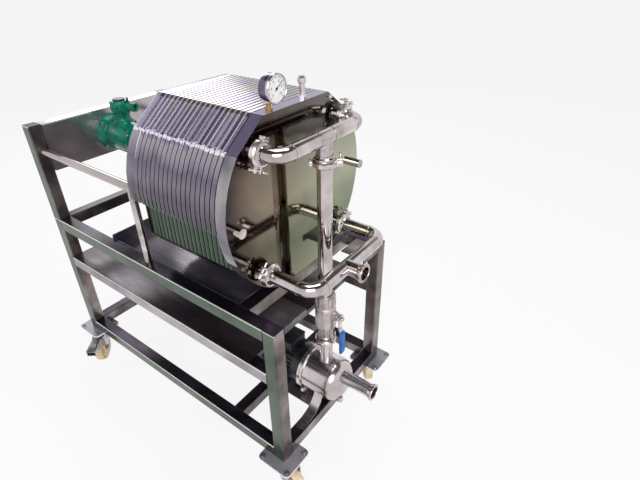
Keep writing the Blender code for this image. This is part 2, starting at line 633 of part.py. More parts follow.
joined(
    pump,
    inlet,
    rod("inlet_ferrule", inlet_back, inlet_face, FERRULE_RADIUS),
    rod("pump_outlet", *stub_ends, RISER_RADIUS),
    rod("drain_plug", *drain_ends, DRAIN_RADIUS, sides=6),
    *clamp("pump_clamp", (RISER_X, MIDDLE_Y, PUMP_CLAMP_HEIGHT), (0, 0, 1), (0, -1, 0)),
    block("band_lug", lug_low, lug_high),
)

motor_back_x = PUMP_BACK_X - MOTOR_LENGTH
fin_root = MOTOR_RADIUS - MOTOR_FIN_DEPTH
motor_profile = [
    (0, PUMP_BACK_X - SEAT),
    (MOTOR_RADIUS * 0.9, PUMP_BACK_X - SEAT),
    (MOTOR_RADIUS, PUMP_BACK_X - MOTOR_LENGTH * 0.05),
    (MOTOR_RADIUS, PUMP_BACK_X - MOTOR_LENGTH * 0.16),
    (fin_root, PUMP_BACK_X - MOTOR_LENGTH * 0.16),
    (fin_root, motor_back_x + MOTOR_LENGTH * 0.22),
    (MOTOR_RADIUS, motor_back_x + MOTOR_LENGTH * 0.22),
    (MOTOR_RADIUS, motor_back_x + MOTOR_LENGTH * 0.06),
    (MOTOR_RADIUS * 0.88, motor_back_x),
    (0, motor_back_x),
]
motor = turned("pump_motor", motor_profile, BLACK_PAINT, (0, MIDDLE_Y, PUMP_AXIS_Z), (1, 0, 0), sides=24)
fin_outline = []
fin_step = 180 / MOTOR_FIN_COUNT
for number in range(2 * MOTOR_FIN_COUNT):
    radius = MOTOR_RADIUS * 0.985 if number % 2 else fin_root * 0.97
    edges = (fin_step * (number - 0.3), fin_step * (number + 0.3))
    fin_outline += arc(radius, *edges, 1, centre=(MIDDLE_Y, PUMP_AXIS_Z))
fins_back, fins_front = motor_back_x + MOTOR_LENGTH * 0.18, PUMP_BACK_X - MOTOR_LENGTH * 0.12
box_low = (motor_back_x + MOTOR_LENGTH * 0.32, MIDDLE_Y - TERMINAL_BOX_WIDTH / 2, PUMP_AXIS_Z)
box_high = (
    PUMP_BACK_X - MOTOR_LENGTH * 0.22,
    MIDDLE_Y + TERMINAL_BOX_WIDTH / 2,
    PUMP_AXIS_Z + MOTOR_RADIUS + TERMINAL_BOX_RISE,
)
terminal_box = block("terminal_box", box_low, box_high, corner=TERMINAL_BOX_WIDTH * 0.06, axis=2)
joined(motor, prism("motor_fins", fin_outline, fins_back, fins_front), terminal_box)

base_back_x, base_bottom = PUMP_CROSS_X + TUBE + SEAT, BASE_PLATE_TOP - BASE_PLATE_THICKNESS
base_low = (base_back_x, MIDDLE_Y - BASE_PLATE_WIDTH / 2, base_bottom)
base_high = (FRONT_X - SEAT, MIDDLE_Y + BASE_PLATE_WIDTH / 2, BASE_PLATE_TOP)
pump_base = block("pump_base", base_low, base_high, BRUSHED)
cradle_bottom = base_bottom + BASE_PLATE_THICKNESS / 2
cradle_low = (base_back_x + TUBE / 5, MIDDLE_Y - MOTOR_RADIUS * 0.75, cradle_bottom)
cradle_high = (PUMP_BACK_X - BAND_LENGTH, MIDDLE_Y + MOTOR_RADIUS * 0.75, PUMP_AXIS_Z - MOTOR_RADIUS * 0.4)
joined(pump_base, block("motor_cradle", cradle_low, cradle_high))
motor_ends = [(PUMP_CROSS_X - TUBE, MIDDLE_Y, PUMP_AXIS_Z), (PUMP_BACK_X, MIDDLE_Y, PUMP_AXIS_Z)]
cut(pump_base, rod("cradle_hollow", *motor_ends, MOTOR_RADIUS + SEAT, sides=32))

valve_profile = [
    (0, VALVE_TOP + UNION_LENGTH * 0.1),
    (VALVE_RADIUS * 0.8, VALVE_TOP + UNION_LENGTH * 0.1),
    (VALVE_RADIUS * 0.85, VALVE_TOP),
    (VALVE_RADIUS, VALVE_TOP - VALVE_LENGTH * 0.12),
    (VALVE_RADIUS, VALVE_BOTTOM + VALVE_LENGTH * 0.15),
    (VALVE_RADIUS * 0.75, VALVE_BOTTOM),
    (VALVE_NECK_RADIUS, VALVE_BOTTOM - VALVE_LENGTH * 0.05),
    (VALVE_NECK_RADIUS, pump_clamp_top + SEAT),
    (0, pump_clamp_top + SEAT),
]
valve = turned("valve_body", valve_profile, BRUSHED, (RISER_X, MIDDLE_Y, 0), sides=24)
stem_ends = [(RISER_X, MIDDLE_Y, LEVER_HEIGHT), (LEVER_X - SEAT, MIDDLE_Y, LEVER_HEIGHT)]
union_ends = [(RISER_X, MIDDLE_Y, VALVE_TOP), (RISER_X, MIDDLE_Y, UNION_TOP)]
union_nut = rod("union_nut", *union_ends, UNION_RADIUS, sides=UNION_FLUTES)
joined(valve, union_nut, rod("valve_stem", *stem_ends, STEM_RADIUS, sides=16))

hub_face_x = LEVER_X + LEVER_THICKNESS * 1.4
hub_ends = [(LEVER_X, MIDDLE_Y, LEVER_HEIGHT), (hub_face_x, MIDDLE_Y, LEVER_HEIGHT)]
handle_back_x = LEVER_X + LEVER_THICKNESS * 0.2
handle_low = (handle_back_x, MIDDLE_Y - LEVER_WIDTH / 2, LEVER_HEIGHT - LEVER_LENGTH)
handle_high = (handle_back_x + LEVER_THICKNESS, MIDDLE_Y + LEVER_WIDTH / 2, LEVER_HEIGHT)
lever = rod("valve_lever", *hub_ends, LEVER_HUB_RADIUS, BRUSHED, sides=20)
joined(lever, block("lever_handle", handle_low, handle_high, corner=LEVER_THICKNESS * 0.4))

# Drip trays and front corner gussets of folded sheet
tray_low = (UPPER_TRAY_BACK_X, TUBE + SEAT, TRAY_FLOOR)
tray_high = (HEAD_FACE_X - TUBE - SEAT, RIGHT_Y - SEAT, RAIL_TOP)
upper_tray = block("upper_drip_tray", tray_low, tray_high, BRUSHED)
wall = Vector((TRAY_WALL, TRAY_WALL, TRAY_WALL))
hollow_high = Vector(tray_high) - wall + Vector((0, 0, TUBE))
cut(upper_tray, block("tray_hollow", Vector(tray_low) + wall, hollow_high))
lip_low = (UPPER_TRAY_BACK_X, TUBE + SEAT, TRAY_FLOOR + TRAY_WALL)
lip_high = (UPPER_TRAY_BACK_X + TRAY_WALL, RIGHT_Y - SEAT, RAIL_TOP + TRAY_LIP)
joined(upper_tray, block("tray_rear_lip", lip_low, lip_high))

lower_low = (TUBE + SEAT, SEAT, SHELF_TOP + SEAT)
lower_high = (LOWER_TRAY_FRONT_X, FRAME_WIDTH - SEAT, SHELF_TOP + TRAY_WALL)
lower_tray = block("lower_tray", lower_low, lower_high, BRUSHED)
fold_low = (LOWER_TRAY_FRONT_X - TRAY_WALL, TUBE + SEAT, SHELF_TOP - TRAY_LIP)
fold_high = (LOWER_TRAY_FRONT_X, RIGHT_Y - SEAT, SHELF_TOP + TRAY_WALL / 2)
joined(lower_tray, block("tray_front_fold", fold_low, fold_high))

for side, inner_y, outward in (("left", TUBE + SEAT, 1), ("right", RIGHT_Y - SEAT, -1)):
    edge_y = inner_y + outward * GUSSET_WIDTH
    low_y, high_y = min(inner_y, edge_y), max(inner_y, edge_y)
    sheet = block(
        f"front_gusset_{side}",
        (GUSSET_BACK_X, low_y, RAIL_TOP - TRAY_WALL),
        (FRAME_LENGTH, high_y, RAIL_TOP),
        BRUSHED,
    )
    fold_low = (FRAME_LENGTH - TRAY_WALL, low_y, RAIL_TOP - GUSSET_FOLD)
    fold_high = (FRAME_LENGTH, high_y, RAIL_TOP - TRAY_WALL / 2)
    joined(sheet, block(f"gusset_fold_{side}", fold_low, fold_high))

# Pressure gauge and air vent on top of the fixed head
gauge_front = HEAD_MIDDLE_X + GAUGE_DEPTH - GAUGE_STEM_RADIUS / 2
gauge_profile = [
    (0, gauge_front - GAUGE_DEPTH * 0.09),
    (GAUGE_RADIUS * 0.88, gauge_front - GAUGE_DEPTH * 0.09),
    (GAUGE_RADIUS * 0.90, gauge_front),
    (GAUGE_RADIUS, gauge_front),
    (GAUGE_RADIUS, gauge_front - GAUGE_DEPTH * 0.18),
    (GAUGE_RADIUS * 0.94, gauge_front - GAUGE_DEPTH * 0.24),
    (GAUGE_RADIUS * 0.94, gauge_front - GAUGE_DEPTH * 0.88),
    (GAUGE_RADIUS * 0.84, gauge_front - GAUGE_DEPTH),
    (0, gauge_front - GAUGE_DEPTH),
]
gauge = turned("pressure_gauge", gauge_profile, WHITE_DIAL, (0, GAUGE_Y, GAUGE_HEIGHT), (1, 0, 0))
gauge_stem = [(HEAD_MIDDLE_X, GAUGE_Y, HEAD_TOP + SEAT), (HEAD_MIDDLE_X, GAUGE_Y, GAUGE_HEIGHT)]
joined(gauge, rod("gauge_stem", *gauge_stem, GAUGE_STEM_RADIUS, sides=6))

vent_ends = [(HEAD_MIDDLE_X, VENT_Y, HEAD_TOP + SEAT), (HEAD_MIDDLE_X, VENT_Y, VENT_CAP_TOP - VENT_RADIUS)]
vent = rod("air_vent", *vent_ends, VENT_RADIUS, POLISHED, sides=16)
cap_ends = [(HEAD_MIDDLE_X, VENT_Y, VENT_CAP_BOTTOM), (HEAD_MIDDLE_X, VENT_Y, VENT_CAP_TOP)]
joined(vent, rod("vent_cap", *cap_ends, VENT_CAP_RADIUS, sides=6))


# Castors, each a fork that swivels under its pad and a wheel on the fork's axle
def brake_pedal(corner, swivel):
    """The plate that a foot presses, its two side webs and the tab below that lifts it again."""
    crown = FORK_CROWN_HEIGHT
    half = PEDAL_WIDTH / 2
    web_back, web_front = PEDAL_REACH * 0.66, PEDAL_REACH - FORK_THICKNESS
    tread_low = (TRAIL, -half, crown - PEDAL_THICKNESS / 3)
    tread_high = (PEDAL_REACH, half, crown + PEDAL_THICKNESS * 2 / 3)
    tab_low = (PEDAL_REACH - PEDAL_WIDTH, -half + SEAT, crown - PEDAL_DROP)
    tab_high = (PEDAL_REACH - SEAT, half - SEAT, crown - PEDAL_DROP + FORK_THICKNESS)
    pieces = [
        block(f"pedal_tread_{corner}", tread_low, tread_high, parent=swivel),
        block(f"pedal_tab_{corner}", tab_low, tab_high, parent=swivel),
    ]
    for side in (-1, 1):
        near_y, far_y = sorted((side * (half - SEAT * 2), side * (half - FORK_THICKNESS)))
        web_low = (web_back, near_y, crown - PEDAL_DROP + SEAT)
        web_high = (web_front, far_y, crown)
        pieces.append(block(f"pedal_web_{corner}_{side}", web_low, web_high, parent=swivel))
    return pieces


def castor(corner, x, y, direction, braked):
    swivel = bpy.data.objects.new(f"castor_swivel_{corner}", None)
    swivel.parent = trolley_corner
    swivel.location = (x, y, 0)
    swivel.rotation_euler = (0, 0, math.radians(direction))
    parts.objects.link(swivel)
    top = LEG_BOTTOM - PAD_THICKNESS - 2 * SEAT
    crown = FORK_CROWN_HEIGHT
    outside = FORK_INSIDE / 2 + FORK_THICKNESS
    fork = rod(f"castor_fork_{corner}", (0, 0, crown), (0, 0, top), SWIVEL_RADIUS, ZINC, parent=swivel)
    fork_front = TRAIL + AXLE_BOSS_RADIUS
    plate_low = (-SWIVEL_RADIUS, -outside, crown - FORK_THICKNESS)
    plate_high = (fork_front, outside, crown + FORK_THICKNESS / 2)
    pieces = [block(f"fork_crown_{corner}", plate_low, plate_high, parent=swivel)]
    boss = arc(AXLE_BOSS_RADIUS, -180, -30, 5, centre=(-TRAIL, WHEEL_RADIUS))
    cheek = [(-fork_front, crown)] + boss + [(FORK_BACK, crown - SWIVEL_HEIGHT * 0.6), (FORK_BACK, crown)]
    for side in (-1, 1):
        faces_y = (side * FORK_INSIDE / 2, side * outside)
        pieces.append(prism(f"fork_cheek_{corner}_{side}", cheek, *faces_y, turn=90, parent=swivel))
    axle_end = outside + FORK_THICKNESS
    axle_ends = [(TRAIL, -axle_end, WHEEL_RADIUS), (TRAIL, axle_end, WHEEL_RADIUS)]
    pieces.append(rod(f"axle_{corner}", *axle_ends, AXLE_RADIUS, parent=swivel, sides=12))
    if braked:
        pieces += brake_pedal(corner, swivel)
    joined(fork, *pieces)
    half = WHEEL_WIDTH / 2
    wheel_profile = [
        (AXLE_RADIUS + AXLE_CLEARANCE, half),
        (AXLE_RADIUS * 2.8, half),
        (AXLE_RADIUS * 2.8, half * 0.7),
        (WHEEL_RADIUS * 0.76, half * 0.7),
        (WHEEL_RADIUS * 0.82, half * 0.92),
        (WHEEL_RADIUS, half * 0.5),
    ]
    wheel_profile += [(radius, -height) for radius, height in reversed(wheel_profile)]
    axle = (TRAIL, 0, WHEEL_RADIUS)
    wheel = turned(f"castor_wheel_{corner}", wheel_profile, NYLON, axle, (0, 1, 0), sides=20)
    wheel.parent = swivel


half_tube = TUBE / 2
for corner, x, y in (
    ("rear_left", half_tube, half_tube),
    ("rear_right", half_tube, FRAME_WIDTH - half_tube),
    ("front_left", FRAME_LENGTH - half_tube, half_tube),
    ("front_right", FRAME_LENGTH - half_tube, FRAME_WIDTH - half_tube),
):
    castor(corner, x, y, CASTOR_DIRECTIONS[corner], corner.startswith("rear"))
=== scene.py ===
"""Looks for a plate filter press on its castor trolley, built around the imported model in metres, +Z up.

X runs from the jack end to the manifold end, Y from the left side to the right, Z up from the floor.
"""

import math

import bmesh
import bpy
from mathutils import Matrix, Vector


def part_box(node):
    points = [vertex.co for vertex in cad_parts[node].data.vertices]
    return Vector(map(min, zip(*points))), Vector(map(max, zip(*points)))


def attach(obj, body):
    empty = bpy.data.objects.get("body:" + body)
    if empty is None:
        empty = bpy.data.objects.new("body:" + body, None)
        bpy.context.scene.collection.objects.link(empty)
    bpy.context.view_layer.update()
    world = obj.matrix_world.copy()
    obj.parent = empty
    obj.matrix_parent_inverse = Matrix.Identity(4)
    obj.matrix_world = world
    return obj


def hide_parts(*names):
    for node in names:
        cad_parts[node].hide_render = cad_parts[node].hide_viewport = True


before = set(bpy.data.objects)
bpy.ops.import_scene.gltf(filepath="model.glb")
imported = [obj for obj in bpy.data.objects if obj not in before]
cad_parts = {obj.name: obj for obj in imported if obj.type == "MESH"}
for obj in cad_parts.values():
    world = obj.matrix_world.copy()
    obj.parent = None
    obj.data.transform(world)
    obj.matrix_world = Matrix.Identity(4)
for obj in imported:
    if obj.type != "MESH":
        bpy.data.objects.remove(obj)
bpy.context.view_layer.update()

# The camera stands in front of the press on its left, above the plates, and looks down along them.
# Its place and turn were worked out from the corners of the trolley in the photograph.
camera_data = bpy.data.cameras.new("photograph_view")
camera_data.lens = 26.32
camera_data.sensor_width = 36
camera = bpy.data.objects.new("photograph_view", camera_data)
camera.location = (1.0094, -0.8258, 1.3762)
camera.rotation_euler = [math.radians(angle) for angle in (58.04, 0.71, 36.52)]
bpy.context.scene.collection.objects.link(camera)
bpy.context.scene.camera = camera
bpy.context.scene.view_settings.view_transform = "Standard"


# Every finish below is a material made of these two classes. A signal stands for a value in the
# shader, so that sums and products of signals add the Math nodes that work them out.
class Signal:
    def __init__(self, finish, socket):
        self.finish = finish
        self.socket = socket

    def maths(self, operation, *values, **settings):
        """A Math node that takes this signal first and then the other values."""
        inputs = dict(enumerate((self, *values)))
        return self.finish.node("ShaderNodeMath", {"operation": operation, **settings}, inputs)

    def __add__(self, other):
        return self.maths("ADD", other)

    def __sub__(self, other):
        return self.maths("SUBTRACT", other)

    def __rsub__(self, other):
        return self.maths("MULTIPLY_ADD", -1, other)

    def __mul__(self, other):
        return self.maths("MULTIPLY", other)

    __radd__ = __add__
    __rmul__ = __mul__

    def above(self, level, blur=0.0004):
        """1 where the value is past the level and 0 below it."""
        return self.maths("MULTIPLY_ADD", 1 / blur, -level / blur, use_clamp=True)

    def near(self, level, reach):
        """1 within the reach of a level and 0 away from it."""
        return self.maths("COMPARE", level, reach)

    def between(self, low, high):
        """The value from 0 to 1 spread over a range of numbers."""
        return self * (high - low) + low


class Finish:
    def __init__(self, name, **constants):
        self.material = bpy.data.materials.new(name)
        self.material.use_nodes = True
        self.tree = self.material.node_tree
        self.shader = self.tree.nodes["Principled BSDF"]
        self.where = self.node("ShaderNodeTexCoord", {}, {}, "Object")
        self.x, self.y, self.z = (
            self.node("ShaderNodeSeparateXYZ", {}, {0: self.where}, axis) for axis in "XYZ"
        )
        self.set(**constants)

    def node(self, kind, settings, inputs, output=0):
        """Adds a node: its settings first, then the values or links of its sockets."""
        made = self.tree.nodes.new(kind)
        for name, value in settings.items():
            if name == "stops":
                self.put_stops(made.color_ramp, value)
            else:
                setattr(made, name, value)
        for name, value in inputs.items():
            self.feed(made.inputs[name], value)
        return Signal(self, made.outputs[output])

    def put_stops(self, ramp, stops):
        while len(ramp.elements) < len(stops):
            ramp.elements.new(1)
        for element, (position, colour) in zip(ramp.elements, stops):
            element.position = position
            element.color = (*colour, 1)

    def feed(self, socket, value):
        if isinstance(value, Signal):
            self.tree.links.new(value.socket, socket)
        elif isinstance(value, tuple) and socket.type == "RGBA":
            socket.default_value = (*value, 1)
        else:
            socket.default_value = value

    def set(self, **values):
        """Sets the shader's sockets, named as Blender names them with underscores."""
        for name, value in values.items():
            self.feed(self.shader.inputs[name.replace("_", " ").title().replace("Ior", "IOR")], value)
        return self

    def noise(self, size, detail=3, stretch=(1, 1, 1)):
        """Cloudy noise with patches about one size across, in metres."""
        scale = [along / size for along in stretch]
        vector = self.node("ShaderNodeMapping", {}, {"Vector": self.where, "Scale": scale})
        inputs = {"Vector": vector, "Scale": 1, "Detail": detail}
        return self.node("ShaderNodeTexNoise", {}, inputs, "Fac")

    def ramp(self, signal, *stops):
        return self.node("ShaderNodeValToRGB", {"stops": stops}, {"Fac": signal}, "Color")

    def mix(self, share, first, second, blend="MIX"):
        """Two colours mixed, where sockets 6 and 7 are the node's colour inputs."""
        settings = {"data_type": "RGBA", "blend_type": blend}
        return self.node("ShaderNodeMix", settings, {0: share, 6: first, 7: second}, 2)

    def bump(self, height, depth):
        """Relief of a height signal, with its depth in metres."""
        relief = self.node("ShaderNodeBump", {}, {"Height": height, "Distance": depth}, "Normal")
        return self.set(normal=relief)


# The floor is a pale sheet that keeps the shadow of the press. Its own glow makes it near white to the
# camera and in the metal and the glass, and adds no light to matt surfaces.
FLOOR_SIZE = 40
FLOOR_DROP = 0.0005
floor_shape = bmesh.new()
bmesh.ops.create_grid(floor_shape, x_segments=1, y_segments=1, size=FLOOR_SIZE)
floor_mesh = bpy.data.meshes.new("floor")
floor_shape.to_mesh(floor_mesh)
floor_shape.free()
floor = bpy.data.objects.new("floor", floor_mesh)
floor.location.z = -FLOOR_DROP
bpy.context.scene.collection.objects.link(floor)
floor_look = Finish("pale_floor", base_color=(0.85, 0.85, 0.85), roughness=0.9, specular_ior_level=0.0)
light_path = floor_look.tree.nodes.new("ShaderNodeLightPath")
seen = Signal(floor_look, light_path.outputs["Is Camera Ray"])
for ray in ("Is Glossy Ray", "Is Transmission Ray"):
    seen = seen.maths("MAXIMUM", Signal(floor_look, light_path.outputs[ray]))
FLOOR_GLOW = 0.86
floor_glow = floor_look.node("ShaderNodeEmission", {}, {"Color": (1.0, 1.0, 1.0), "Strength": 1.0})
floor_mix = floor_look.node(
    "ShaderNodeMixShader",
    {},
    {0: seen * FLOOR_GLOW, 1: Signal(floor_look, floor_look.shader.outputs[0]), 2: floor_glow},
)
floor_look.tree.links.new(floor_mix.socket, floor_look.tree.nodes["Material Output"].inputs["Surface"])
floor_mesh.materials.append(floor_look.material)

# The backdrop is near white up to well above the eye, under a dark ceiling, and the camera and the metal
# both see it so. The soft light comes from a room with a bright band below its ceiling, a bright end in
# front of the press and a dim one behind.
world = bpy.data.worlds.new("room")
world.use_nodes = True
bpy.context.scene.world = world
room_nodes = world.node_tree
ROOM_STRENGTH = 1.6
BACKDROP_WHITE = 0.95 / ROOM_STRENGTH
BACKDROP_HEIGHTS = ((0.0, BACKDROP_WHITE), (0.58, BACKDROP_WHITE), (0.68, 0.08), (1.0, 0.05))
ROOM_HEIGHTS = ((0.0, 0.80), (0.16, 0.80), (0.24, 1.0), (0.58, 1.0), (0.68, 0.15), (1.0, 0.11))
ROOM_TURNS = (
    (0.0, 0.21), (0.03, 0.19), (0.139, 0.52), (0.236, 0.55), (0.29, 0.31), (0.353, 0.28), (0.417, 0.38),
    (0.5, 0.86), (0.547, 1.0), (0.597, 0.90), (0.667, 0.41), (0.806, 0.31), (0.917, 0.34), (1.0, 0.21),
)


def room_node(kind, output, inputs, **settings):
    """Adds a node to the room: its settings, then the values or links of its sockets."""
    made = room_nodes.nodes.new(kind)
    for name, value in settings.items():
        setattr(made, name, value)
    for name, value in inputs.items():
        if isinstance(value, bpy.types.NodeSocket):
            room_nodes.links.new(value, made.inputs[name])
        else:
            made.inputs[name].default_value = value
    return made.outputs[output]


def room_ramp(signal, levels):
    """A grey that follows a signal through pairs of a position and a level."""
    colour = room_node("ShaderNodeValToRGB", "Color", {"Fac": signal})
    stops = colour.node.color_ramp.elements
    while len(stops) < len(levels):
        stops.new(1)
    for stop, (position, level) in zip(stops, levels):
        stop.position = position
        stop.color = (level, level, level, 1)
    return colour


direction = room_node("ShaderNodeTexCoord", "Generated", {})
east, north, up = (room_node("ShaderNodeSeparateXYZ", axis, {0: direction}) for axis in "XYZ")
angle_round = room_node("ShaderNodeMath", 0, {0: north, 1: east}, operation="ARCTAN2")
turn_share = {0: angle_round, 1: 1 / math.tau, 2: 0.5}
share_round = room_node("ShaderNodeMath", 0, turn_share, operation="MULTIPLY_ADD")
room_colour = room_node(
    "ShaderNodeMix",
    2,
    {0: 1.0, 6: room_ramp(up, ROOM_HEIGHTS), 7: room_ramp(share_round, ROOM_TURNS)},
    data_type="RGBA",
    blend_type="MULTIPLY",
)
sees_backdrop = room_node("ShaderNodeLightPath", "Is Camera Ray", {})
for ray in ("Is Glossy Ray", "Is Transmission Ray"):
    other_ray = room_node("ShaderNodeLightPath", ray, {})
    sees_backdrop = room_node("ShaderNodeMath", 0, {0: sees_backdrop, 1: other_ray}, operation="MAXIMUM")
backdrop = room_ramp(up, BACKDROP_HEIGHTS)
seen_colours = {0: sees_backdrop, 6: room_colour, 7: backdrop}
world_colour = room_node("ShaderNodeMix", 2, seen_colours, data_type="RGBA")
background = room_nodes.nodes["Background"]
background.inputs["Strength"].default_value = ROOM_STRENGTH
room_nodes.links.new(world_colour, background.inputs["Color"])

# Three wide lamps light the press, each with its place, its width and its power in watts.
LAMPS = {
    "window_lamp": ((2.4, -2.6, 2.6), 2.2, 95),
    "rear_lamp": ((-2.6, 1.6, 2.4), 1.8, 30),
    "ceiling_lamp": ((0.2, 0.4, 3.4), 1.6, 35),
}
LAMP_TARGET = Vector((0, 0, 0.6))
for name, (place, width, power) in LAMPS.items():
    lamp_data = bpy.data.lights.new(name, "AREA")
    lamp_data.size = width
    lamp_data.energy = power
    lamp = bpy.data.objects.new(name, lamp_data)
    lamp.location = place
    lamp.rotation_euler = (LAMP_TARGET - Vector(place)).to_track_quat("-Z", "Y").to_euler()
    bpy.context.scene.collection.objects.link(lamp)

# The trolley is welded from square stainless tube, ground and polished along its length. Its colour holds
# painted reflections: near black on its tops for the dark ceiling, green-grey on its outer sides for the
# floor, other greys on its front and inner faces, and a painted highlight along the rolled corners.
PAINTED_FLOOR_REFLECTION = (0.088, 0.122, 0.092)
PAINTED_FRONT_REFLECTION = (0.30, 0.29, 0.235)
PAINTED_INNER_REFLECTION = (0.200, 0.165, 0.160)
PAINTED_WARM_INNER_REFLECTION = (0.26, 0.225, 0.21)
PAD_VIOLET = (0.80, 0.77, 0.90)
PAINTED_CEILING_REFLECTION = (0.018, 0.014, 0.022)
PAINTED_EDGE_HIGHLIGHT = (0.95, 0.93, 0.88)
PAINTED_VIOLET_SIDE_REFLECTION = (0.36, 0.33, 0.36)
TUBE_EDGE = 0.003
SKIN = 0.0006
left_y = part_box("upper_rail_left")[0].y
front_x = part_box("front_leg_left")[1].x
pad_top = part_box("front_bottom_cross")[0].z - 0.0005
rear_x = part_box("rear_post_left")[0].x
half_length = (front_x - rear_x) / 2
rail_tops = [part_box(f"{level}_rail_left")[1].z for level in ("bottom", "middle", "upper")]
post_tops = [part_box(post)[1].z for post in ("rear_post_left", "front_leg_left")]


def tube_look(name, tops, grain, side=PAINTED_FLOOR_REFLECTION, inner=PAINTED_INNER_REFLECTION):
    """Polished tube: the grain is how much its streaks are stretched along each axis."""
    look = Finish(name)
    streaks = look.noise(0.05, 4, grain)
    cloud = look.noise(0.11)

    def clouded(colour, *stops):
        """A colour made darker or paler with the clouds, by a share at each position."""
        return look.ramp(cloud, *((at, tuple(part * share for part in colour)) for at, share in stops))

    sideways = look.y.maths("ABSOLUTE")
    endways = (look.x - (front_x + rear_x) / 2).maths("ABSOLUTE")
    painted_top_mask = 0
    painted_edge_mask = 0
    for top in tops:
        painted_top_mask = look.z.near(top, 0.0007) + painted_top_mask
        painted_edge_mask = look.z.near(top - TUBE_EDGE / 2, TUBE_EDGE * 0.4) + painted_edge_mask
    on_upright = endways.above(half_length - TUBE_EDGE * 0.8)
    painted_edge_mask = (painted_edge_mask + on_upright) * sideways.above(-left_y - TUBE_EDGE * 0.8) * streaks.between(0.5, 1.3)
    above_pad = look.z.above(pad_top)
    # Painted reflections: each face gets its own colour for what it mirrors, the floor on the outer sides,
    # other greys on the front and inner faces.
    colour = clouded(inner, (0.35, 0.3), (0.5, 0.8), (0.68, 1.7))
    colour = look.mix(sideways.above(-left_y - SKIN), colour, clouded(side, (0.3, 0.6), (0.7, 1.35)))
    colour = look.mix(look.x.above(front_x - SKIN), colour, clouded(PAINTED_FRONT_REFLECTION, (0.3, 0.7), (0.7, 1.3)))
    # Painted reflection: the tops are painted near black for the dark ceiling they mirror.
    colour = look.mix(painted_top_mask, colour, clouded(PAINTED_CEILING_REFLECTION, (0.4, 1), (0.75, 4)))
    # Painted highlight: a bright line along the rolled corners.
    colour = look.mix(painted_edge_mask, colour, PAINTED_EDGE_HIGHLIGHT)
    colour = look.mix(above_pad, PAD_VIOLET, colour)
    look.set(base_color=colour, metallic=above_pad * 0.4 + 0.35, roughness=streaks.between(0.16, 0.34))
    return look.bump(streaks, 0.0004)


def both(*stems):
    """The left and the right piece of each kind."""
    return [f"{stem}_{side}" for stem in stems for side in ("left", "right")]


def dress(look, slot, *nodes):
    """Gives carried-over pieces a finish."""
    for node in nodes:
        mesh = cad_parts[node].data
        mesh.materials.clear()
        mesh.materials.append(look.material)


ALONG_X = (0.06, 1, 1)
ALONG_Y = (1, 0.06, 1)
ALONG_Z = (1, 1, 0.06)
CROSS_TUBES = ["rear_upper_cross", "rear_bottom_cross", "pump_cross"]
WARM_TUBES = ["front_bottom_cross", "head_cross_tube"]
TUBE_GROUPS = (
    ("polished_rail", rail_tops, ALONG_X, {}, both("upper_rail", "bottom_rail")),
    ("polished_middle_rail", rail_tops, ALONG_X, {"side": PAINTED_VIOLET_SIDE_REFLECTION}, both("middle_rail")),
    ("polished_cross_tube", rail_tops, ALONG_Y, {}, CROSS_TUBES),
    ("polished_front_tube", rail_tops, ALONG_Y, {"inner": PAINTED_WARM_INNER_REFLECTION}, WARM_TUBES),
    ("polished_post", post_tops, ALONG_Z, {}, both("rear_post", "front_leg")),
)
for name, tops, grain, colours, nodes in TUBE_GROUPS:
    dress(tube_look(name, tops, grain, **colours), "brushed_stainless", *nodes)

# The press beam is a folded box between the rear posts, polished so that its face mirrors the jack, with
# a painted highlight on its top.
beam_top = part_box("press_beam")[1].z
beam_look = Finish("mirror_beam", metallic=0.85)
beam_face = beam_look.ramp(
    beam_look.noise(0.16, 2),
    (0.32, (0.40, 0.36, 0.37)),
    (0.55, (0.52, 0.47, 0.49)),
    (0.75, (0.66, 0.61, 0.62)),
)
# Painted highlight: the top is painted paler than the face.
beam_look.set(
    base_color=beam_look.mix(beam_look.z.above(beam_top - 0.001), beam_face, (0.60, 0.58, 0.55)),
    roughness=beam_look.noise(0.02).between(0.08, 0.20),
)
dress(beam_look, "brushed_stainless", "press_beam")

# Both drip trays and the corner gussets are thin folded sheet. Their colour is a painted reflection: dark
# patches for the underside of the plates that they mirror, with pale streaks between.
tray_look = Finish("drip_tray_sheet", metallic=0.7)
tray_streak = tray_look.noise(0.025, 5, (0.25, 1, 1))
tray_painted_reflection = tray_look.ramp(
    tray_look.noise(0.16, 2, (0.5, 1.2, 1)),
    (0.30, (0.070, 0.055, 0.082)),
    (0.50, (0.15, 0.13, 0.16)),
    (0.62, (0.27, 0.24, 0.27)),
    (0.74, (0.58, 0.52, 0.54)),
)
tray_look.set(base_color=tray_painted_reflection, roughness=tray_streak.between(0.14, 0.36))
tray_look.bump(tray_streak, 0.0005)
dress(tray_look, "brushed_stainless", "upper_drip_tray", "pump_base")

shelf_look = Finish("shelf_sheet", metallic=0.7)
# The shelf and the gussets get the same kind of painted reflection, darker.
shelf_painted_reflection = shelf_look.ramp(
    shelf_look.noise(0.10, 4, (0.35, 1, 1)),
    (0.30, (0.040, 0.031, 0.040)),
    (0.48, (0.080, 0.066, 0.078)),
    (0.62, (0.16, 0.14, 0.15)),
    (0.74, (0.40, 0.35, 0.35)),
)
shelf_look.set(base_color=shelf_painted_reflection, roughness=shelf_look.noise(0.02, 4, ALONG_X).between(0.16, 0.34))
dress(shelf_look, "brushed_stainless", "lower_tray", "front_gusset_left", "front_gusset_right")


# The guide rods are round polished bar. Each runs from its rear post through the fixed head, on a prop
# that stands on the upper rail.
def copy_of(node):
    """A plain solid's shape with its loose triangles merged."""
    shape = bmesh.new()
    shape.from_mesh(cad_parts[node].data)
    bmesh.ops.remove_doubles(shape, verts=shape.verts, dist=0.00001)
    bmesh.ops.dissolve_limit(shape, angle_limit=math.radians(1), verts=shape.verts, edges=shape.edges)
    return shape


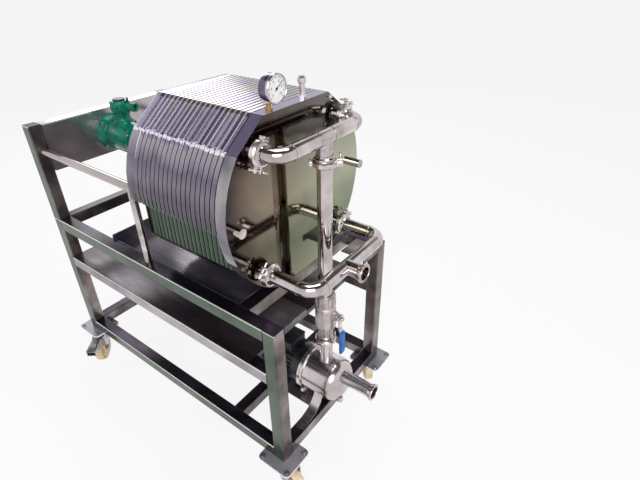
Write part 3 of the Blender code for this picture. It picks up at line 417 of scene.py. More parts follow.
def piece(name, shape, look, body, slot, *nodes, angle=34):
    """Makes an object of a shape: it rides on its body and may stand for plain solids."""
    bmesh.ops.recalc_face_normals(shape, faces=shape.faces)
    mesh = bpy.data.meshes.new(name)
    shape.to_mesh(mesh)
    shape.free()
    mesh.shade_smooth()
    mesh.set_sharp_from_angle(angle=math.radians(angle))
    mesh.materials.append(look.material)
    made = bpy.data.objects.new(name, mesh)
    bpy.context.scene.collection.objects.link(made)
    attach(made, body)
    if nodes:
        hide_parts(*nodes)
    return made


def drifting(name, patch, dark, pale, grain=None, ends=(0.3, 0.7), **constants):
    """A finish whose colour drifts from dark to pale: patch holds the arguments of its noise.

    The grain is the noise, the lowest and the highest value of its roughness."""
    look = Finish(name, **constants)
    look.set(base_color=look.ramp(look.noise(*patch), (ends[0], dark), (ends[1], pale)))
    if grain:
        speckle, low, high = grain
        look.set(roughness=look.noise(*speckle).between(low, high))
    return look


ROD_END_TRIM = 0.009
rod_end_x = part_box("guide_rod_left")[1].x
rod_look = drifting(
    "polished_bar",
    (0.05, 3, ALONG_X),
    (0.30, 0.255, 0.25),
    (0.72, 0.66, 0.65),
    ((0.01,), 0.06, 0.16),
    ends=(0.35, 0.7),
    metallic=1.0,
)
for rod in both("guide_rod"):
    guide = copy_of(rod)
    rod_end = [v for v in guide.verts if v.co.x > rod_end_x - ROD_END_TRIM]
    bmesh.ops.translate(guide, verts=rod_end, vec=(-ROD_END_TRIM, 0, 0))
    piece(rod.replace("rod", "bar"), guide, rod_look, "trolley", "polished_stainless", rod)

# The filter plates are folded stainless frames with a filter sheet pinched between each two. The movable
# head behind them has their outline and a plain back. So it shares their finish, and each plate is a copy
# of it made thinner, with its edges softened.
PLATE_COUNT = 18
SHEET_GAP = 0.003
SHEET_INSET = 0.003
HEAD_EDGE = 0.0012
PLATE_EDGE = 0.0007
SLOPE_FOOT = 0.862
SLOPE_TOP = 0.985
LINE_SEED_STEP = 0.37
pack_low, pack_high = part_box("filter_plates")
movable_low, movable_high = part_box("movable_head")
plate_pitch = (pack_high.x - pack_low.x + SHEET_GAP) / PLATE_COUNT
plate_middle_z = (pack_low.z + pack_high.z) / 2
plate_look = Finish("filter_plate_steel")
along_pack = (plate_look.x - pack_low.x) * (1 / plate_pitch)
through = along_pack.maths("FRACT")
plate_number = along_pack.maths("FLOOR")


def by_plate(seed):
    """A value from 0 to 1 that each plate has by itself."""
    settings = {"noise_dimensions": "1D"}
    return plate_look.node("ShaderNodeTexWhiteNoise", settings, {"W": plate_number + seed}, "Value")


plate_tone = by_plate(0)
plate_haze = plate_look.noise(0.09, 2)
plate_rag = plate_look.noise(0.006, 3)
plate_height = (plate_look.z - pack_low.z) * (1 / (pack_high.z - pack_low.z))
# Painted shade and painted reflection by height: dark green low down, violet higher up and on the sloping
# corners, with each plate a little lighter or darker at random.
plate_colour_and_painted_light = plate_look.ramp(
    plate_height + plate_tone.between(-0.016, 0.016) + plate_haze.between(-0.06, 0.06),
    (0.00, (0.022, 0.032, 0.024)),
    (0.20, (0.034, 0.062, 0.038)),
    (0.42, (0.058, 0.086, 0.062)),
    (0.56, (0.145, 0.124, 0.158)),
    (0.64, (0.240, 0.210, 0.265)),
    (0.72, (0.175, 0.145, 0.200)),
    (0.80, (0.330, 0.300, 0.360)),
    (0.842, (0.360, 0.340, 0.370)),
    (SLOPE_FOOT, (0.240, 0.190, 0.350)),
    (SLOPE_TOP, (0.300, 0.245, 0.400)),
    (0.996, (0.340, 0.315, 0.330)),
)
# Painted highlight: a pale line along each plate at the corner below its sloping face, made less metallic.
painted_corner_highlight = (plate_height + plate_rag.between(-0.018, 0.018)).near(0.852, 0.007)
on_slope = plate_height.above(SLOPE_FOOT) * (1 - plate_height.above(SLOPE_TOP))
# Painted glints: pale lines across the sloping face of each plate.
FINE_LINES = ((0.15, 0.05), (0.32, 0.025), (0.50, 0.03), (0.66, 0.02), (0.84, 0.05))
slope_glint_lines = 0
for number, (place, reach) in enumerate(FINE_LINES, 1):
    slope_glint_lines = through.near(place, reach) * by_plate(LINE_SEED_STEP * number) + slope_glint_lines
painted_slope_glints = slope_glint_lines * on_slope
seam_line = through.near(0.03, 0.05) * plate_tone.between(0.15, 0.6)
on_back = 1 - plate_look.x.above(movable_low.x + HEAD_EDGE)
back_colour = plate_look.ramp(plate_look.noise(0.20), (0.35, (0.12, 0.115, 0.13)), (0.7, (0.26, 0.25, 0.26)))
plate_colour_and_painted_light = plate_look.mix(painted_corner_highlight * plate_rag.between(0.4, 1.3), plate_colour_and_painted_light, (0.78, 0.76, 0.82))
plate_colour_and_painted_light = plate_look.mix(painted_slope_glints, plate_colour_and_painted_light, (0.78, 0.74, 0.86))
plate_colour_and_painted_light = plate_look.mix(seam_line, plate_colour_and_painted_light, (0.50, 0.47, 0.50))
plate_colour_and_painted_light = plate_look.mix(on_back, plate_colour_and_painted_light, back_colour)
plate_matt = (painted_corner_highlight * 0.8).maths("MAXIMUM", painted_slope_glints * 0.6)
plate_look.set(
    base_color=plate_colour_and_painted_light,
    metallic=1 - plate_matt * (1 - on_back),
    roughness=plate_haze.between(0.10, 0.26),
)
plate_look.bump(plate_look.noise(0.03, 3, (3, 0.3, 0.3)), 0.0003)


def soften(shape, edges, width):
    """Rounds edges by a width."""
    bmesh.ops.bevel(
        shape, geom=list(edges), offset=width, segments=2, profile=0.5, affect="EDGES", material=-1
    )


movable = copy_of("movable_head")
soften(movable, movable.edges, HEAD_EDGE)
piece("movable_head_plate", movable, plate_look, "closing_head", "brushed_stainless", "movable_head")


def add_slice(shape, start, thickness, inset=0.0, edge=0.0):
    """Adds a copy of the movable head that is as thin as a plate or a sheet."""
    one = copy_of("movable_head")
    share = 1 - inset / (pack_high.y - pack_low.y) * 2
    sized = Matrix.Diagonal((thickness / (movable_high.x - movable_low.x), share, share, 1))
    centre = Vector((movable_low.x, 0, plate_middle_z))
    place = Matrix.Translation((start, 0, plate_middle_z)) @ sized @ Matrix.Translation(-centre)
    bmesh.ops.transform(one, matrix=place, verts=one.verts)
    if edge:
        soften(one, one.edges, edge)
    lump = bpy.data.meshes.new("plate")
    one.to_mesh(lump)
    one.free()
    shape.from_mesh(lump)
    bpy.data.meshes.remove(lump)


plates = bmesh.new()
sheets = bmesh.new()
for number in range(PLATE_COUNT):
    back = pack_low.x + number * plate_pitch
    add_slice(plates, back, plate_pitch - SHEET_GAP, edge=PLATE_EDGE)
    if number < PLATE_COUNT - 1:
        add_slice(sheets, back + plate_pitch - SHEET_GAP, SHEET_GAP, inset=SHEET_INSET)
piece("plate_stack", plates, plate_look, "trolley", "brushed_stainless", "filter_plates", angle=25)
# The sheets are near black: painted shade for the narrow gaps between the plates.
sheet_painted_shade_look = drifting("filter_sheet", (0.02,), (0.010, 0.010, 0.012), (0.05, 0.048, 0.05), roughness=0.85)
piece("filter_sheets", sheets, sheet_painted_shade_look, "trolley", "brushed_stainless")

# The fixed head is a thick plate ground to a mirror, clear enough to show the pipes in front of it. Its face
# holds painted shade and painted reflection: darker at its left side, greener low down, and darkest at the
# height of its sloping corners.
HEAD_SLOPE_HEIGHT = 0.395
head_low, head_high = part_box("fixed_head")
head_look = Finish("mirror_head")
head_haze = head_look.noise(0.12, 2)
head_level = (head_look.z - head_low.z) * (1 / (head_high.z - head_low.z)) + head_haze.between(-0.14, 0.14)
head_across = (head_look.y - head_low.y) * (1 / (head_high.y - head_low.y)) + head_haze.between(-0.10, 0.10)
head_painted_tint = head_look.ramp(
    head_across,
    (0.04, (0.055, 0.045, 0.045)),
    (0.20, (0.26, 0.205, 0.165)),
    (0.45, (0.29, 0.28, 0.21)),
    (0.80, (0.44, 0.455, 0.36)),
)
head_shade = head_look.ramp(
    head_level,
    (0.02, (0.75, 0.74, 0.70)),
    (0.26, (0.46, 0.52, 0.44)),
    (0.55, (1.0, 0.98, 0.94)),
    (0.78, (0.75, 0.72, 0.70)),
    (0.88, (0.16, 0.14, 0.18)),
    (1.0, (0.40, 0.36, 0.42)),
)
head_face = head_look.mix(1.0, head_painted_tint, head_shade, "MULTIPLY")
head_cloud = head_look.noise(0.07, 2, (1, 1, 0.5))
head_side = head_look.ramp(head_cloud, (0.35, (0.15, 0.14, 0.17)), (0.7, (0.40, 0.38, 0.40)))
# Painted reflection: the sides are violet above the height of the sloping corners, as on the plates.
head_side = head_look.mix(head_look.z.above(head_low.z + HEAD_SLOPE_HEIGHT), head_side, (0.26, 0.22, 0.36))
on_face = head_look.x.above(head_high.x - 0.0008)
head_look.set(
    base_color=head_look.mix(on_face, head_side, head_face),
    metallic=on_face * 0.3 + 0.7,
    roughness=head_haze.between(0.035, 0.085),
)
dress(head_look, "polished_stainless", "fixed_head")

# All pipework is thin sanitary tube with a mirror finish and faint weld rings, held by hinged clamps.
# Pipes are drawn from a ring of points that is pushed straight on or swung round each bend.
pipe_look = drifting(
    "sanitary_tube", (0.06, 2), (0.40, 0.33, 0.325), (0.68, 0.63, 0.64), ((0.015,), 0.05, 0.13), metallic=1.0
)
pump_look = drifting(
    "polished_pressing",
    (0.09, 2),
    (0.46, 0.41, 0.41),
    (0.76, 0.71, 0.72),
    ((0.03, 3, ALONG_X), 0.16, 0.28),
    metallic=1.0,
)
clamp_look = drifting(
    "cast_clamp", (0.02,), (0.48, 0.43, 0.42), (0.82, 0.77, 0.76), ((0.006,), 0.14, 0.34), metallic=1.0
)
clamp_look.bump(clamp_look.noise(0.006), 0.0003)

TUBE_RADIUS = 0.0178
BEND = 0.040
FERRULE_RADIUS = 0.02525
CLAMP_RADIUS = 0.031
CLAMP_HALF = 0.008
BOLT_OUT = 0.006
WING_LEAN = math.radians(24)
PORT_Y = 0.157
PORT_SEAT = 0.0004
PORT_REACH = 0.022
screw_low, screw_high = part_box("jack_screw")
centre_z = (screw_low.z + screw_high.z) / 2
UPPER_Z = centre_z + PORT_Y
LOWER_Z = centre_z - PORT_Y
CLAMP_X = head_high.x + PORT_REACH
riser_low, riser_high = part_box("riser")
riser_x = (riser_low.x + riser_high.x) / 2
riser_radius = (riser_high.y - riser_low.y) / 2
TEE_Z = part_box("upper_manifold")[0].z + CLAMP_HALF


def facing(axis, centre):
    """A place whose Z points along an axis."""
    return Matrix.Translation(centre) @ Vector(axis).to_track_quat("Z", "Y").to_matrix().to_4x4()


def bar(shape, start, end, radius, end_radius=None, sides=32):
    """Adds a round bar between two points, tapered where it has an end radius."""
    start, end = Vector(start), Vector(end)
    turn = (end - start).to_track_quat("Z", "Y").to_matrix().to_4x4()
    made = bmesh.ops.create_cone(
        shape,
        cap_ends=True,
        segments=sides,
        radius1=radius,
        radius2=radius if end_radius is None else end_radius,
        depth=(end - start).length,
        matrix=Matrix.Translation((start + end) / 2) @ turn,
    )
    return made["verts"]


def stack(shape, place, *rows):
    """Adds bars along a place's Z: each row is two heights, a radius, an end radius and the sides."""
    for low, high, *rest in rows:
        bar(shape, place @ Vector((0, 0, low)), place @ Vector((0, 0, high)), *rest)


def block(shape, low, high, edge=0.0, place=Matrix()):
    """Adds a box with rounded edges."""
    before = set(shape.verts)
    low, high = Vector(low), Vector(high)
    sized = place @ Matrix.Translation((low + high) / 2) @ Matrix.Diagonal((*(high - low), 1))
    made = bmesh.ops.create_cube(shape, size=1, matrix=sized)
    if edge:
        soften(shape, {e for v in made["verts"] for e in v.link_edges}, edge)
    return [v for v in shape.verts if v not in before]


def turned(shape, profile, place=Matrix(), sides=48):
    """Adds a turned form from (radius, height) pairs, which come back to their start where it is a ring."""
    before = set(shape.verts)
    points = [shape.verts.new((radius, 0, height)) for radius, height in profile]
    ring = profile[0][0] > 0 and profile[-1][0] > 0
    edges = [shape.edges.new(pair) for pair in zip(points, points[1:] + points[:1] if ring else points[1:])]
    outline = points + edges
    bmesh.ops.spin(
        shape, geom=outline, cent=(0, 0, 0), axis=(0, 0, 1), angle=math.tau, steps=sides, use_merge=True
    )
    grown = [v for v in shape.verts if v not in before]
    bmesh.ops.remove_doubles(shape, verts=grown, dist=0.000001)
    grown = [v for v in shape.verts if v not in before]
    bmesh.ops.transform(shape, matrix=place, verts=grown)


def bent_tube(shape, start, heading, *steps, radius=TUBE_RADIUS, sides=32):
    """A tube from a starting point: a step is a length to go straight, or an angle to bend sideways."""
    heading = Vector(heading)
    made = bmesh.ops.create_circle(
        shape, cap_ends=True, segments=sides, radius=radius, matrix=facing(heading, start)
    )
    ring = list({e for v in made["verts"] for e in v.link_edges})
    shape.faces.ensure_lookup_table()
    place = Vector(start)
    for kind, size in steps:
        if kind == "straight":
            grown = bmesh.ops.extrude_edge_only(shape, edges=ring)["geom"]
            moved = [g for g in grown if isinstance(g, bmesh.types.BMVert)]
            bmesh.ops.translate(shape, verts=moved, vec=heading * size)
            place = place + heading * size
            ring = [g for g in grown if isinstance(g, bmesh.types.BMEdge)]
            ring = [edge for edge in ring if all(v in moved for v in edge.verts)]
        else:
            side = Vector((0, 0, math.copysign(1, size))).cross(heading)
            centre = place + side * BEND
            last = bmesh.ops.spin(
                shape, geom=ring, cent=centre, axis=(0, 0, 1), angle=math.radians(size), steps=14
            )["geom_last"]
            ring = [g for g in last if isinstance(g, bmesh.types.BMEdge)]
            turn = Matrix.Rotation(math.radians(size), 3, "Z")
            place = centre + turn @ (place - centre)
            heading = turn @ heading
    bmesh.ops.contextual_create(shape, geom=ring)


def weld_ring(shape, centre, axis, radius):
    """Adds a thin bead round a tube."""
    bead = [(radius + 0.0006, -0.0012), (radius + 0.0009, 0), (radius + 0.0006, 0.0012), (radius - 0.001, 0)]
    turned(shape, bead, facing(axis, centre))


def clamp(shape, centre, axis, towards):
    """A hinged clamp round two ferrules, with its bolt and wing nut on the side it points towards."""
    axis, towards = Vector(axis), Vector(towards)
    across = axis.cross(towards)
    place = Matrix.Translation(centre) @ Matrix((towards, across, axis)).transposed().to_4x4()
    rim = [
        (FERRULE_RADIUS * 0.92, -CLAMP_HALF),
        (CLAMP_RADIUS * 0.90, -CLAMP_HALF),
        (CLAMP_RADIUS, -CLAMP_HALF * 0.62),
        (CLAMP_RADIUS, CLAMP_HALF * 0.62),
        (CLAMP_RADIUS * 0.90, CLAMP_HALF),
        (FERRULE_RADIUS * 0.92, CLAMP_HALF),
        (FERRULE_RADIUS * 0.92, 0),
    ]
    turned(shape, rim, place)
    for side in (-1, 1):
        lug_low = (CLAMP_RADIUS * 0.86, side * 0.0075 - 0.0035, -0.0065)
        lug_high = (CLAMP_RADIUS + 0.012, side * 0.0075 + 0.0035, 0.0065)
        block(shape, lug_low, lug_high, 0.002, place)
        hinge_low = (-CLAMP_RADIUS - 0.006, side * 0.0065 - 0.004, -0.0055)
        block(shape, hinge_low, (-CLAMP_RADIUS * 0.86, side * 0.0065 + 0.004, 0.0055), 0.0015, place)
    bolt_x = CLAMP_RADIUS + BOLT_OUT
    bolt_place = place @ facing((0, 1, 0), (bolt_x, 0, 0))
    pin_place = place @ Matrix.Translation((-CLAMP_RADIUS - 0.003, 0, 0))
    stack(shape, bolt_place, (-0.022, 0.020, 0.003, 0.003, 16))
    stack(shape, pin_place, (-0.0075, 0.0075, 0.003, 0.003, 16))
    stack(shape, bolt_place, (0.0115, 0.020, 0.0062, 0.0048, 20))
    lean = Matrix.Rotation(WING_LEAN, 4, "X")
    for half_turn in (math.pi, 0):
        wing = block(shape, (-0.0022, -0.0016, 0.003), (0.0022, 0.011, 0.0155), 0.0014)
        wing_turn = Matrix.Rotation(half_turn, 4, "Y") @ lean
        wing_place = place @ Matrix.Translation((bolt_x, 0.015, 0)) @ wing_turn
        bmesh.ops.transform(shape, matrix=wing_place, verts=wing)


def ferrules(shape, centre, axis, radius):
    """The flared pipe ends that a clamp holds together."""
    flare = [
        (radius + 0.001, -0.014),
        (radius + 0.002, -0.010),
        (FERRULE_RADIUS, -0.0075),
        (FERRULE_RADIUS, 0.0075),
        (radius + 0.002, 0.010),
        (radius + 0.001, 0.014),
        (radius - 0.001, 0),
    ]
    turned(shape, flare, facing(axis, centre))


def open_pipe(shape, mouth, axis, radius, length):
    """A straight pipe that ends in an open ferrule with its seal groove."""
    profile = [
        (0, -length),
        (radius, -length),
        (radius, -0.016),
        (radius + 0.0015, -0.010),
        (FERRULE_RADIUS, -0.0050),
        (FERRULE_RADIUS, -0.0006),
        (FERRULE_RADIUS - 0.0006, 0),
        (radius + 0.0036, 0),
        (radius + 0.0031, -0.0012),
        (radius + 0.0014, -0.0012),
        (radius + 0.0009, 0),
        (radius - 0.0018, 0),
        (radius - 0.0018, -length * 0.8),
        (0, -length * 0.8),
    ]
    turned(shape, profile, facing(axis, mouth))


def manifold(shape, run_x, z):
    """A bent pipe from the head's left port out across the press and back to its right port."""
    start_x = head_high.x + PORT_SEAT
    out = ("straight", run_x - BEND - start_x)
    across = ("straight", 2 * (PORT_Y - BEND))
    corner = ("bend", 90)
    bent_tube(shape, (start_x, -PORT_Y, z), (1, 0, 0), out, corner, across, corner, out)
    for side in (-1, 1):
        ferrules(shape, (CLAMP_X, side * PORT_Y, z), (1, 0, 0), TUBE_RADIUS)
        weld_ring(shape, (run_x - BEND - 0.002, side * PORT_Y, z), (1, 0, 0), TUBE_RADIUS)
        weld_ring(shape, (run_x, side * (PORT_Y - BEND), z), (0, 1, 0), TUBE_RADIUS)


TEE_WELD = 0.026
RISER_WELD = 0.02
upper = bmesh.new()
manifold(upper, riser_x, UPPER_Z)
bar(upper, (riser_x, 0, UPPER_Z), (riser_x, 0, TEE_Z - CLAMP_HALF), riser_radius)
ferrules(upper, (riser_x, 0, TEE_Z + 0.006), (0, 0, 1), riser_radius)
weld_ring(upper, (riser_x, 0, UPPER_Z - TEE_WELD), (0, 0, 1), riser_radius)
for side in (-1, 1):
    weld_ring(upper, (riser_x, side * TEE_WELD, UPPER_Z), (0, 1, 0), TUBE_RADIUS)
piece("upper_manifold_pipe", upper, pipe_look, "trolley", "polished_stainless", "upper_manifold")

LOWER_RUN_STEP = 0.0805
OUTLET_Y = -0.019
lower_run_x = riser_x + LOWER_RUN_STEP
outlet_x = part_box("lower_manifold")[1].x
lower = bmesh.new()
manifold(lower, lower_run_x, LOWER_Z)
open_pipe(lower, (outlet_x, OUTLET_Y, LOWER_Z), (1, 0, 0), riser_radius, outlet_x - lower_run_x)
piece("lower_manifold_pipe", lower, pipe_look, "trolley", "polished_stainless", "lower_manifold")

clamps = bmesh.new()
CLAMP_TURNS = {
    (CLAMP_X, -PORT_Y, UPPER_Z): ((1, 0, 0), (0, -0.45, -0.89)),
    (CLAMP_X, PORT_Y, UPPER_Z): ((1, 0, 0), (0, 0.5, 0.87)),
    (CLAMP_X, -PORT_Y, LOWER_Z): ((1, 0, 0), (0, -0.7, 0.71)),
    (CLAMP_X, PORT_Y, LOWER_Z): ((1, 0, 0), (0, 0.7, 0.71)),
    (riser_x, 0, TEE_Z): ((0, 0, 1), (0.8, 0.6, 0)),
}
for centre, (axis, towards) in CLAMP_TURNS.items():
    clamp(clamps, centre, axis, Vector(towards).normalized())
piece("manifold_clamps", clamps, clamp_look, "trolley", "polished_stainless")

riser_shape = bmesh.new()
bar(riser_shape, (riser_x, 0, riser_low.z), (riser_x, 0, riser_high.z), riser_radius)
weld_ring(riser_shape, (riser_x, 0, riser_low.z + RISER_WELD), (0, 0, 1), riser_radius)
piece("riser_pipe", riser_shape, pipe_look, "trolley", "polished_stainless", "riser")

# The screw jack is an enamelled casting bolted to the beam: a flared foot, a ribbed bell over its bevel
# gears, a bolted seam, a cone and a nozzle with a black wiper. Its screw is a chromed bar with a collar.
enamel_look = drifting(
    "green_enamel",
    (0.03,),
    (0.000, 0.095, 0.058),
    (0.002, 0.200, 0.125),
    ((0.008,), 0.16, 0.34),
    coat_weight=0.3,
    coat_roughness=0.04,
    specular_ior_level=0.15,
)
enamel_look.bump(enamel_look.noise(0.010), 0.0008)
black_look = drifting(
    "black_paint",
    (0.02,),
    (0.006, 0.006, 0.008),
    (0.024, 0.023, 0.030),
    ((0.006,), 0.25, 0.50),
    ends=(0.3, 0.75),
)
black_look.bump(black_look.noise(0.004), 0.0003)
JACK_PROFILE = (
    (0, 0.0003), (0.0600, 0.0003), (0.0605, 0.0040), (0.0595, 0.0100), (0.0550, 0.0150), (0.0490, 0.0210),
    (0.0468, 0.0270), (0.0475, 0.0340), (0.0500, 0.0420), (0.0515, 0.0540), (0.0515, 0.0860),
    (0.0500, 0.1060), (0.0470, 0.1220), (0.0435, 0.1330), (0.0435, 0.1375), (0.0480, 0.1385),
    (0.0485, 0.1420), (0.0485, 0.1470), (0.0478, 0.1490), (0.0410, 0.1500), (0.0400, 0.1560),
    (0.0340, 0.2150), (0.0300, 0.2550), (0.0295, 0.2850), (0.0310, 0.3000), (0.0320, 0.3080),
    (0.0318, 0.3205), (0.0300, 0.3220), (0.0181, 0.3220), (0.0181, 0.0180), (0, 0.0180),
)
NECK_PROFILE = (
    (0, 0.030), (0.036, 0.040), (0.035, 0.047), (0.028, 0.053), (0.0248, 0.060), (0.0245, 0.072),
    (0.0275, 0.0745), (0.0280, 0.0790), (0.0270, 0.0797), (0, 0.0797),
)


def spread(place, count, axis, start=0.0):
    """Places evenly round an axis of a place."""
    return [place @ Matrix.Rotation(math.tau * (number + start) / count, 4, axis) for number in range(count)]


JACK_RIBS = 6
RATCHET_RADIUS = 0.030
jack_start = Vector((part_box("jack_body")[0].x, 0, centre_z))
jack_place = facing((1, 0, 0), jack_start)
ratchet_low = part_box("jack_ratchet")[0]
neck_x = ratchet_low.x + RATCHET_RADIUS
jack_shape = bmesh.new()
turned(jack_shape, JACK_PROFILE, jack_place, sides=64)
for rib_place in spread(Matrix.Translation(jack_start), JACK_RIBS, "X", 0.5):
    block(jack_shape, (0.030, -0.0035, 0.040), (0.1375, 0.0035, 0.0545), 0.0028, rib_place)
turned(jack_shape, NECK_PROFILE, Matrix.Translation((neck_x, 0, centre_z)))
piece("jack_casting", jack_shape, enamel_look, "trolley", "green_enamel", "jack_body")

# Each row of bolts has a count, a turn, its two ends along the jack, how far out it is, a radius and sides.
BOLT_ROWS = ((4, 0.5, 0.008, 0.0215, 0.0525, 0.0062, 6), (6, 0.0, 0.145, 0.1525, 0.0448, 0.0034, 12))
jack_bolts = bmesh.new()
for count, start, low, high, outward, radius, sides in BOLT_ROWS:
    for place in spread(Matrix.Translation(jack_start), count, "X", start):
        bolt_ends = [place @ Vector((along, 0, outward)) for along in (low, high)]
        bar(jack_bolts, *bolt_ends, radius, sides=sides)
piece("jack_bolts", jack_bolts, clamp_look, "trolley", "brushed_stainless")
WIPER_PROFILE = [(0.0179, 0.3215), (0.0298, 0.3215), (0.0302, 0.3236), (0.0290, 0.3247), (0.0179, 0.3247)]
wiper = bmesh.new()
turned(wiper, WIPER_PROFILE, jack_place)
piece("jack_wiper", wiper, black_look, "trolley", "black_paint")

SCREW_RADIUS = 0.0175
COLLAR_PROFILE = (
    (0.0170, -0.0140), (0.0228, -0.0128), (0.0240, -0.0110), (0.0240, -0.0012), (0.0230, 0), (0.0170, 0),
)
ram = bmesh.new()
bar(ram, (screw_low.x, 0, centre_z), (screw_high.x, 0, centre_z), SCREW_RADIUS, sides=48)
turned(ram, COLLAR_PROFILE, facing((1, 0, 0), (screw_high.x, 0, centre_z)))
piece("jack_ram", ram, rod_look, "closing_head", "polished_stainless", "jack_screw")

# The ratchet head turns on the jack's neck. It has grip ribs, a round socket for a loose bar, a small
# boss for its pawl and a spring plunger, and a black cap covers the spindle.
SOCKET_HEADING = Vector((math.cos(math.radians(15)), math.sin(math.radians(15)), 0))
PAWL_HEADING = Vector((0.75, -0.66, 0))
SOCKET_RISE = 0.018
PLUNGER_OUT = 0.036
DRUM_RIBS = 14
DRUM_PROFILE = (
    (0, 0), (0.0265, 0), (0.0285, 0.002), (0.0290, 0.005), (0.0290, 0.031), (0.0280, 0.034), (0.0255, 0.036),
    (0, 0.036),
)
SOCKET_PROFILE = (
    (0, 0.015), (0.0125, 0.015), (0.0130, 0.050), (0.0142, 0.054), (0.0145, 0.0600), (0.0138, 0.0638),
    (0.0100, 0.0638), (0.0090, 0.0624), (0.0090, 0.0270), (0, 0.0270),
)
PAWL_PROFILE = (
    (0, 0.020), (0.0085, 0.020), (0.0090, 0.0318), (0.0084, 0.0332), (0.0058, 0.0332), (0.0054, 0.0290),
    (0, 0.0290),
)
CAP_PROFILE = (
    (0, 0.0355), (0.0185, 0.0355), (0.0190, 0.0375), (0.0185, 0.0400), (0.0165, 0.0412), (0.0090, 0.0404),
    (0, 0.0404),
)
drum_place = Matrix.Translation((neck_x, 0, ratchet_low.z))
socket_centre = Vector((neck_x, 0, ratchet_low.z + SOCKET_RISE))
drum = bmesh.new()
turned(drum, DRUM_PROFILE, drum_place)
for rib_place in spread(drum_place, DRUM_RIBS, "Z"):
    block(drum, (0.026, -0.0022, 0.005), (0.0303, 0.0022, 0.031), 0.0010, rib_place)
turned(drum, SOCKET_PROFILE, facing(SOCKET_HEADING, socket_centre))
turned(drum, PAWL_PROFILE, facing(PAWL_HEADING, socket_centre))
piece("ratchet_head", drum, enamel_look, "jack_handle_head", "green_enamel", "jack_ratchet")
cap = bmesh.new()
turned(cap, CAP_PROFILE, drum_place)
plunger_place = Matrix.Translation(socket_centre + SOCKET_HEADING * PLUNGER_OUT)
stack(cap, plunger_place, (0.008, 0.022, 0.0045, 0.0045, 20), (0.022, 0.0295, 0.0034, 0.0026, 20))
piece("ratchet_cap", cap, black_look, "jack_handle_head", "black_paint")

# The feed pump is a polished pressing with a domed front, held to the motor's flange by a band with one
# bolt. Its inlet ends in an open ferrule, and a clamp joins its outlet to the valve.
MOTOR_AXIS_HEIGHT = 0.066
PUMP_SHELL_LENGTH = 0.109
INLET_RISE = 0.030
INLET_RADIUS = 0.0205
SHELL_WELD = 0.0985
INLET_WELD = 0.0345
OUTLET_WELD = 0.0688
PUMP_PROFILE = (
    (0, 0), (0.0660, 0), (0.0680, 0.0015), (0.0680, 0.0990), (0.0676, 0.1065), (0.0655, 0.1150),
    (0.0608, 0.1235), (0.0530, 0.1310), (0.0420, 0.1373), (0.0290, 0.1417), (0.0140, 0.1443), (0, 0.1450),
)
motor_low, motor_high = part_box("pump_motor")
pump_low, pump_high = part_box("pump_housing")
pump_z = motor_low.z + MOTOR_AXIS_HEIGHT
pump_start = Vector((pump_low.x, 0, pump_z))
pump_place = facing((1, 0, 0), pump_start)
pump_front = pump_low.x + PUMP_SHELL_LENGTH
inlet_z = pump_z + INLET_RISE
PUMP_CLAMP_Z = pump_high.z - CLAMP_HALF
pump_shape = bmesh.new()
turned(pump_shape, PUMP_PROFILE, pump_place, sides=72)
weld_ring(pump_shape, (pump_low.x + SHELL_WELD, 0, pump_z), (1, 0, 0), 0.0678)
open_pipe(pump_shape, (pump_high.x, 0, inlet_z), (1, 0, 0), INLET_RADIUS, pump_high.x - pump_front)
weld_ring(pump_shape, (pump_front + INLET_WELD, 0, inlet_z), (1, 0, 0), INLET_RADIUS)
bar(pump_shape, (riser_x, 0, pump_z), (riser_x, 0, PUMP_CLAMP_Z), riser_radius)
ferrules(pump_shape, (riser_x, 0, PUMP_CLAMP_Z), (0, 0, 1), riser_radius)
weld_ring(pump_shape, (riser_x, 0, pump_z + OUTLET_WELD), (0, 0, 1), riser_radius + 0.0008)
piece("pump_shell", pump_shape, pump_look, "trolley", "polished_stainless", "pump_housing")

BAND_PROFILE = (
    (0.0675, 0.003), (0.0712, 0.003), (0.0740, 0.0050), (0.0740, 0.0180), (0.0712, 0.0205), (0.0675, 0.0205),
)
BAND_TURN = math.radians(148)
DRAIN_HEADING = Vector((0.35, -0.25, -1)).normalized()
pump_fittings = bmesh.new()
turned(pump_fittings, BAND_PROFILE, pump_place, sides=72)
band_place = Matrix.Translation(pump_start) @ Matrix.Rotation(BAND_TURN, 4, "X")
for side in (-1, 1):
    lug_low = (0.005, side * 0.0065 - 0.002, 0.070)
    block(pump_fittings, lug_low, (0.0185, side * 0.0065 + 0.002, 0.0875), 0.0012, band_place)
band_bolt = band_place @ facing((0, 1, 0), (0.0118, 0, 0.0815))
stack(pump_fittings, band_bolt, (-0.020, 0.016, 0.0028, 0.0028, 16), (0.0085, 0.0135, 0.0058, 0.0058, 6))
drain_place = facing(DRAIN_HEADING, (pump_front, 0, pump_z))
stack(pump_fittings, drain_place, (0.058, 0.0685, 0.0105), (0.0680, 0.0745, 0.0082, 0.0076, 6))
clamp(pump_fittings, (riser_x, 0, PUMP_CLAMP_Z), (0, 0, 1), (0, -1, 0))
piece("pump_fittings", pump_fittings, clamp_look, "trolley", "polished_stainless")

# A curved strap of sheet steel steadies the pump: it comes down from the shell's left side and flares out
# along the top of the front cross tube.
STRAP_PATH = (
    (-0.066, 0.055), (-0.078, 0.034), (-0.093, 0.019), (-0.110, 0.0095), (-0.130, 0.0040), (-0.150, 0.0012),
    (-0.168, 0.0004),
)


def pushed(shape, corners, way):
    """Adds a flat outline pushed along a vector."""
    face = shape.faces.new([shape.verts.new(corner) for corner in corners])
    grown = bmesh.ops.extrude_face_region(shape, geom=[face])["geom"]
    moved = [g for g in grown if isinstance(g, bmesh.types.BMVert)]
    bmesh.ops.translate(shape, verts=moved, vec=way)


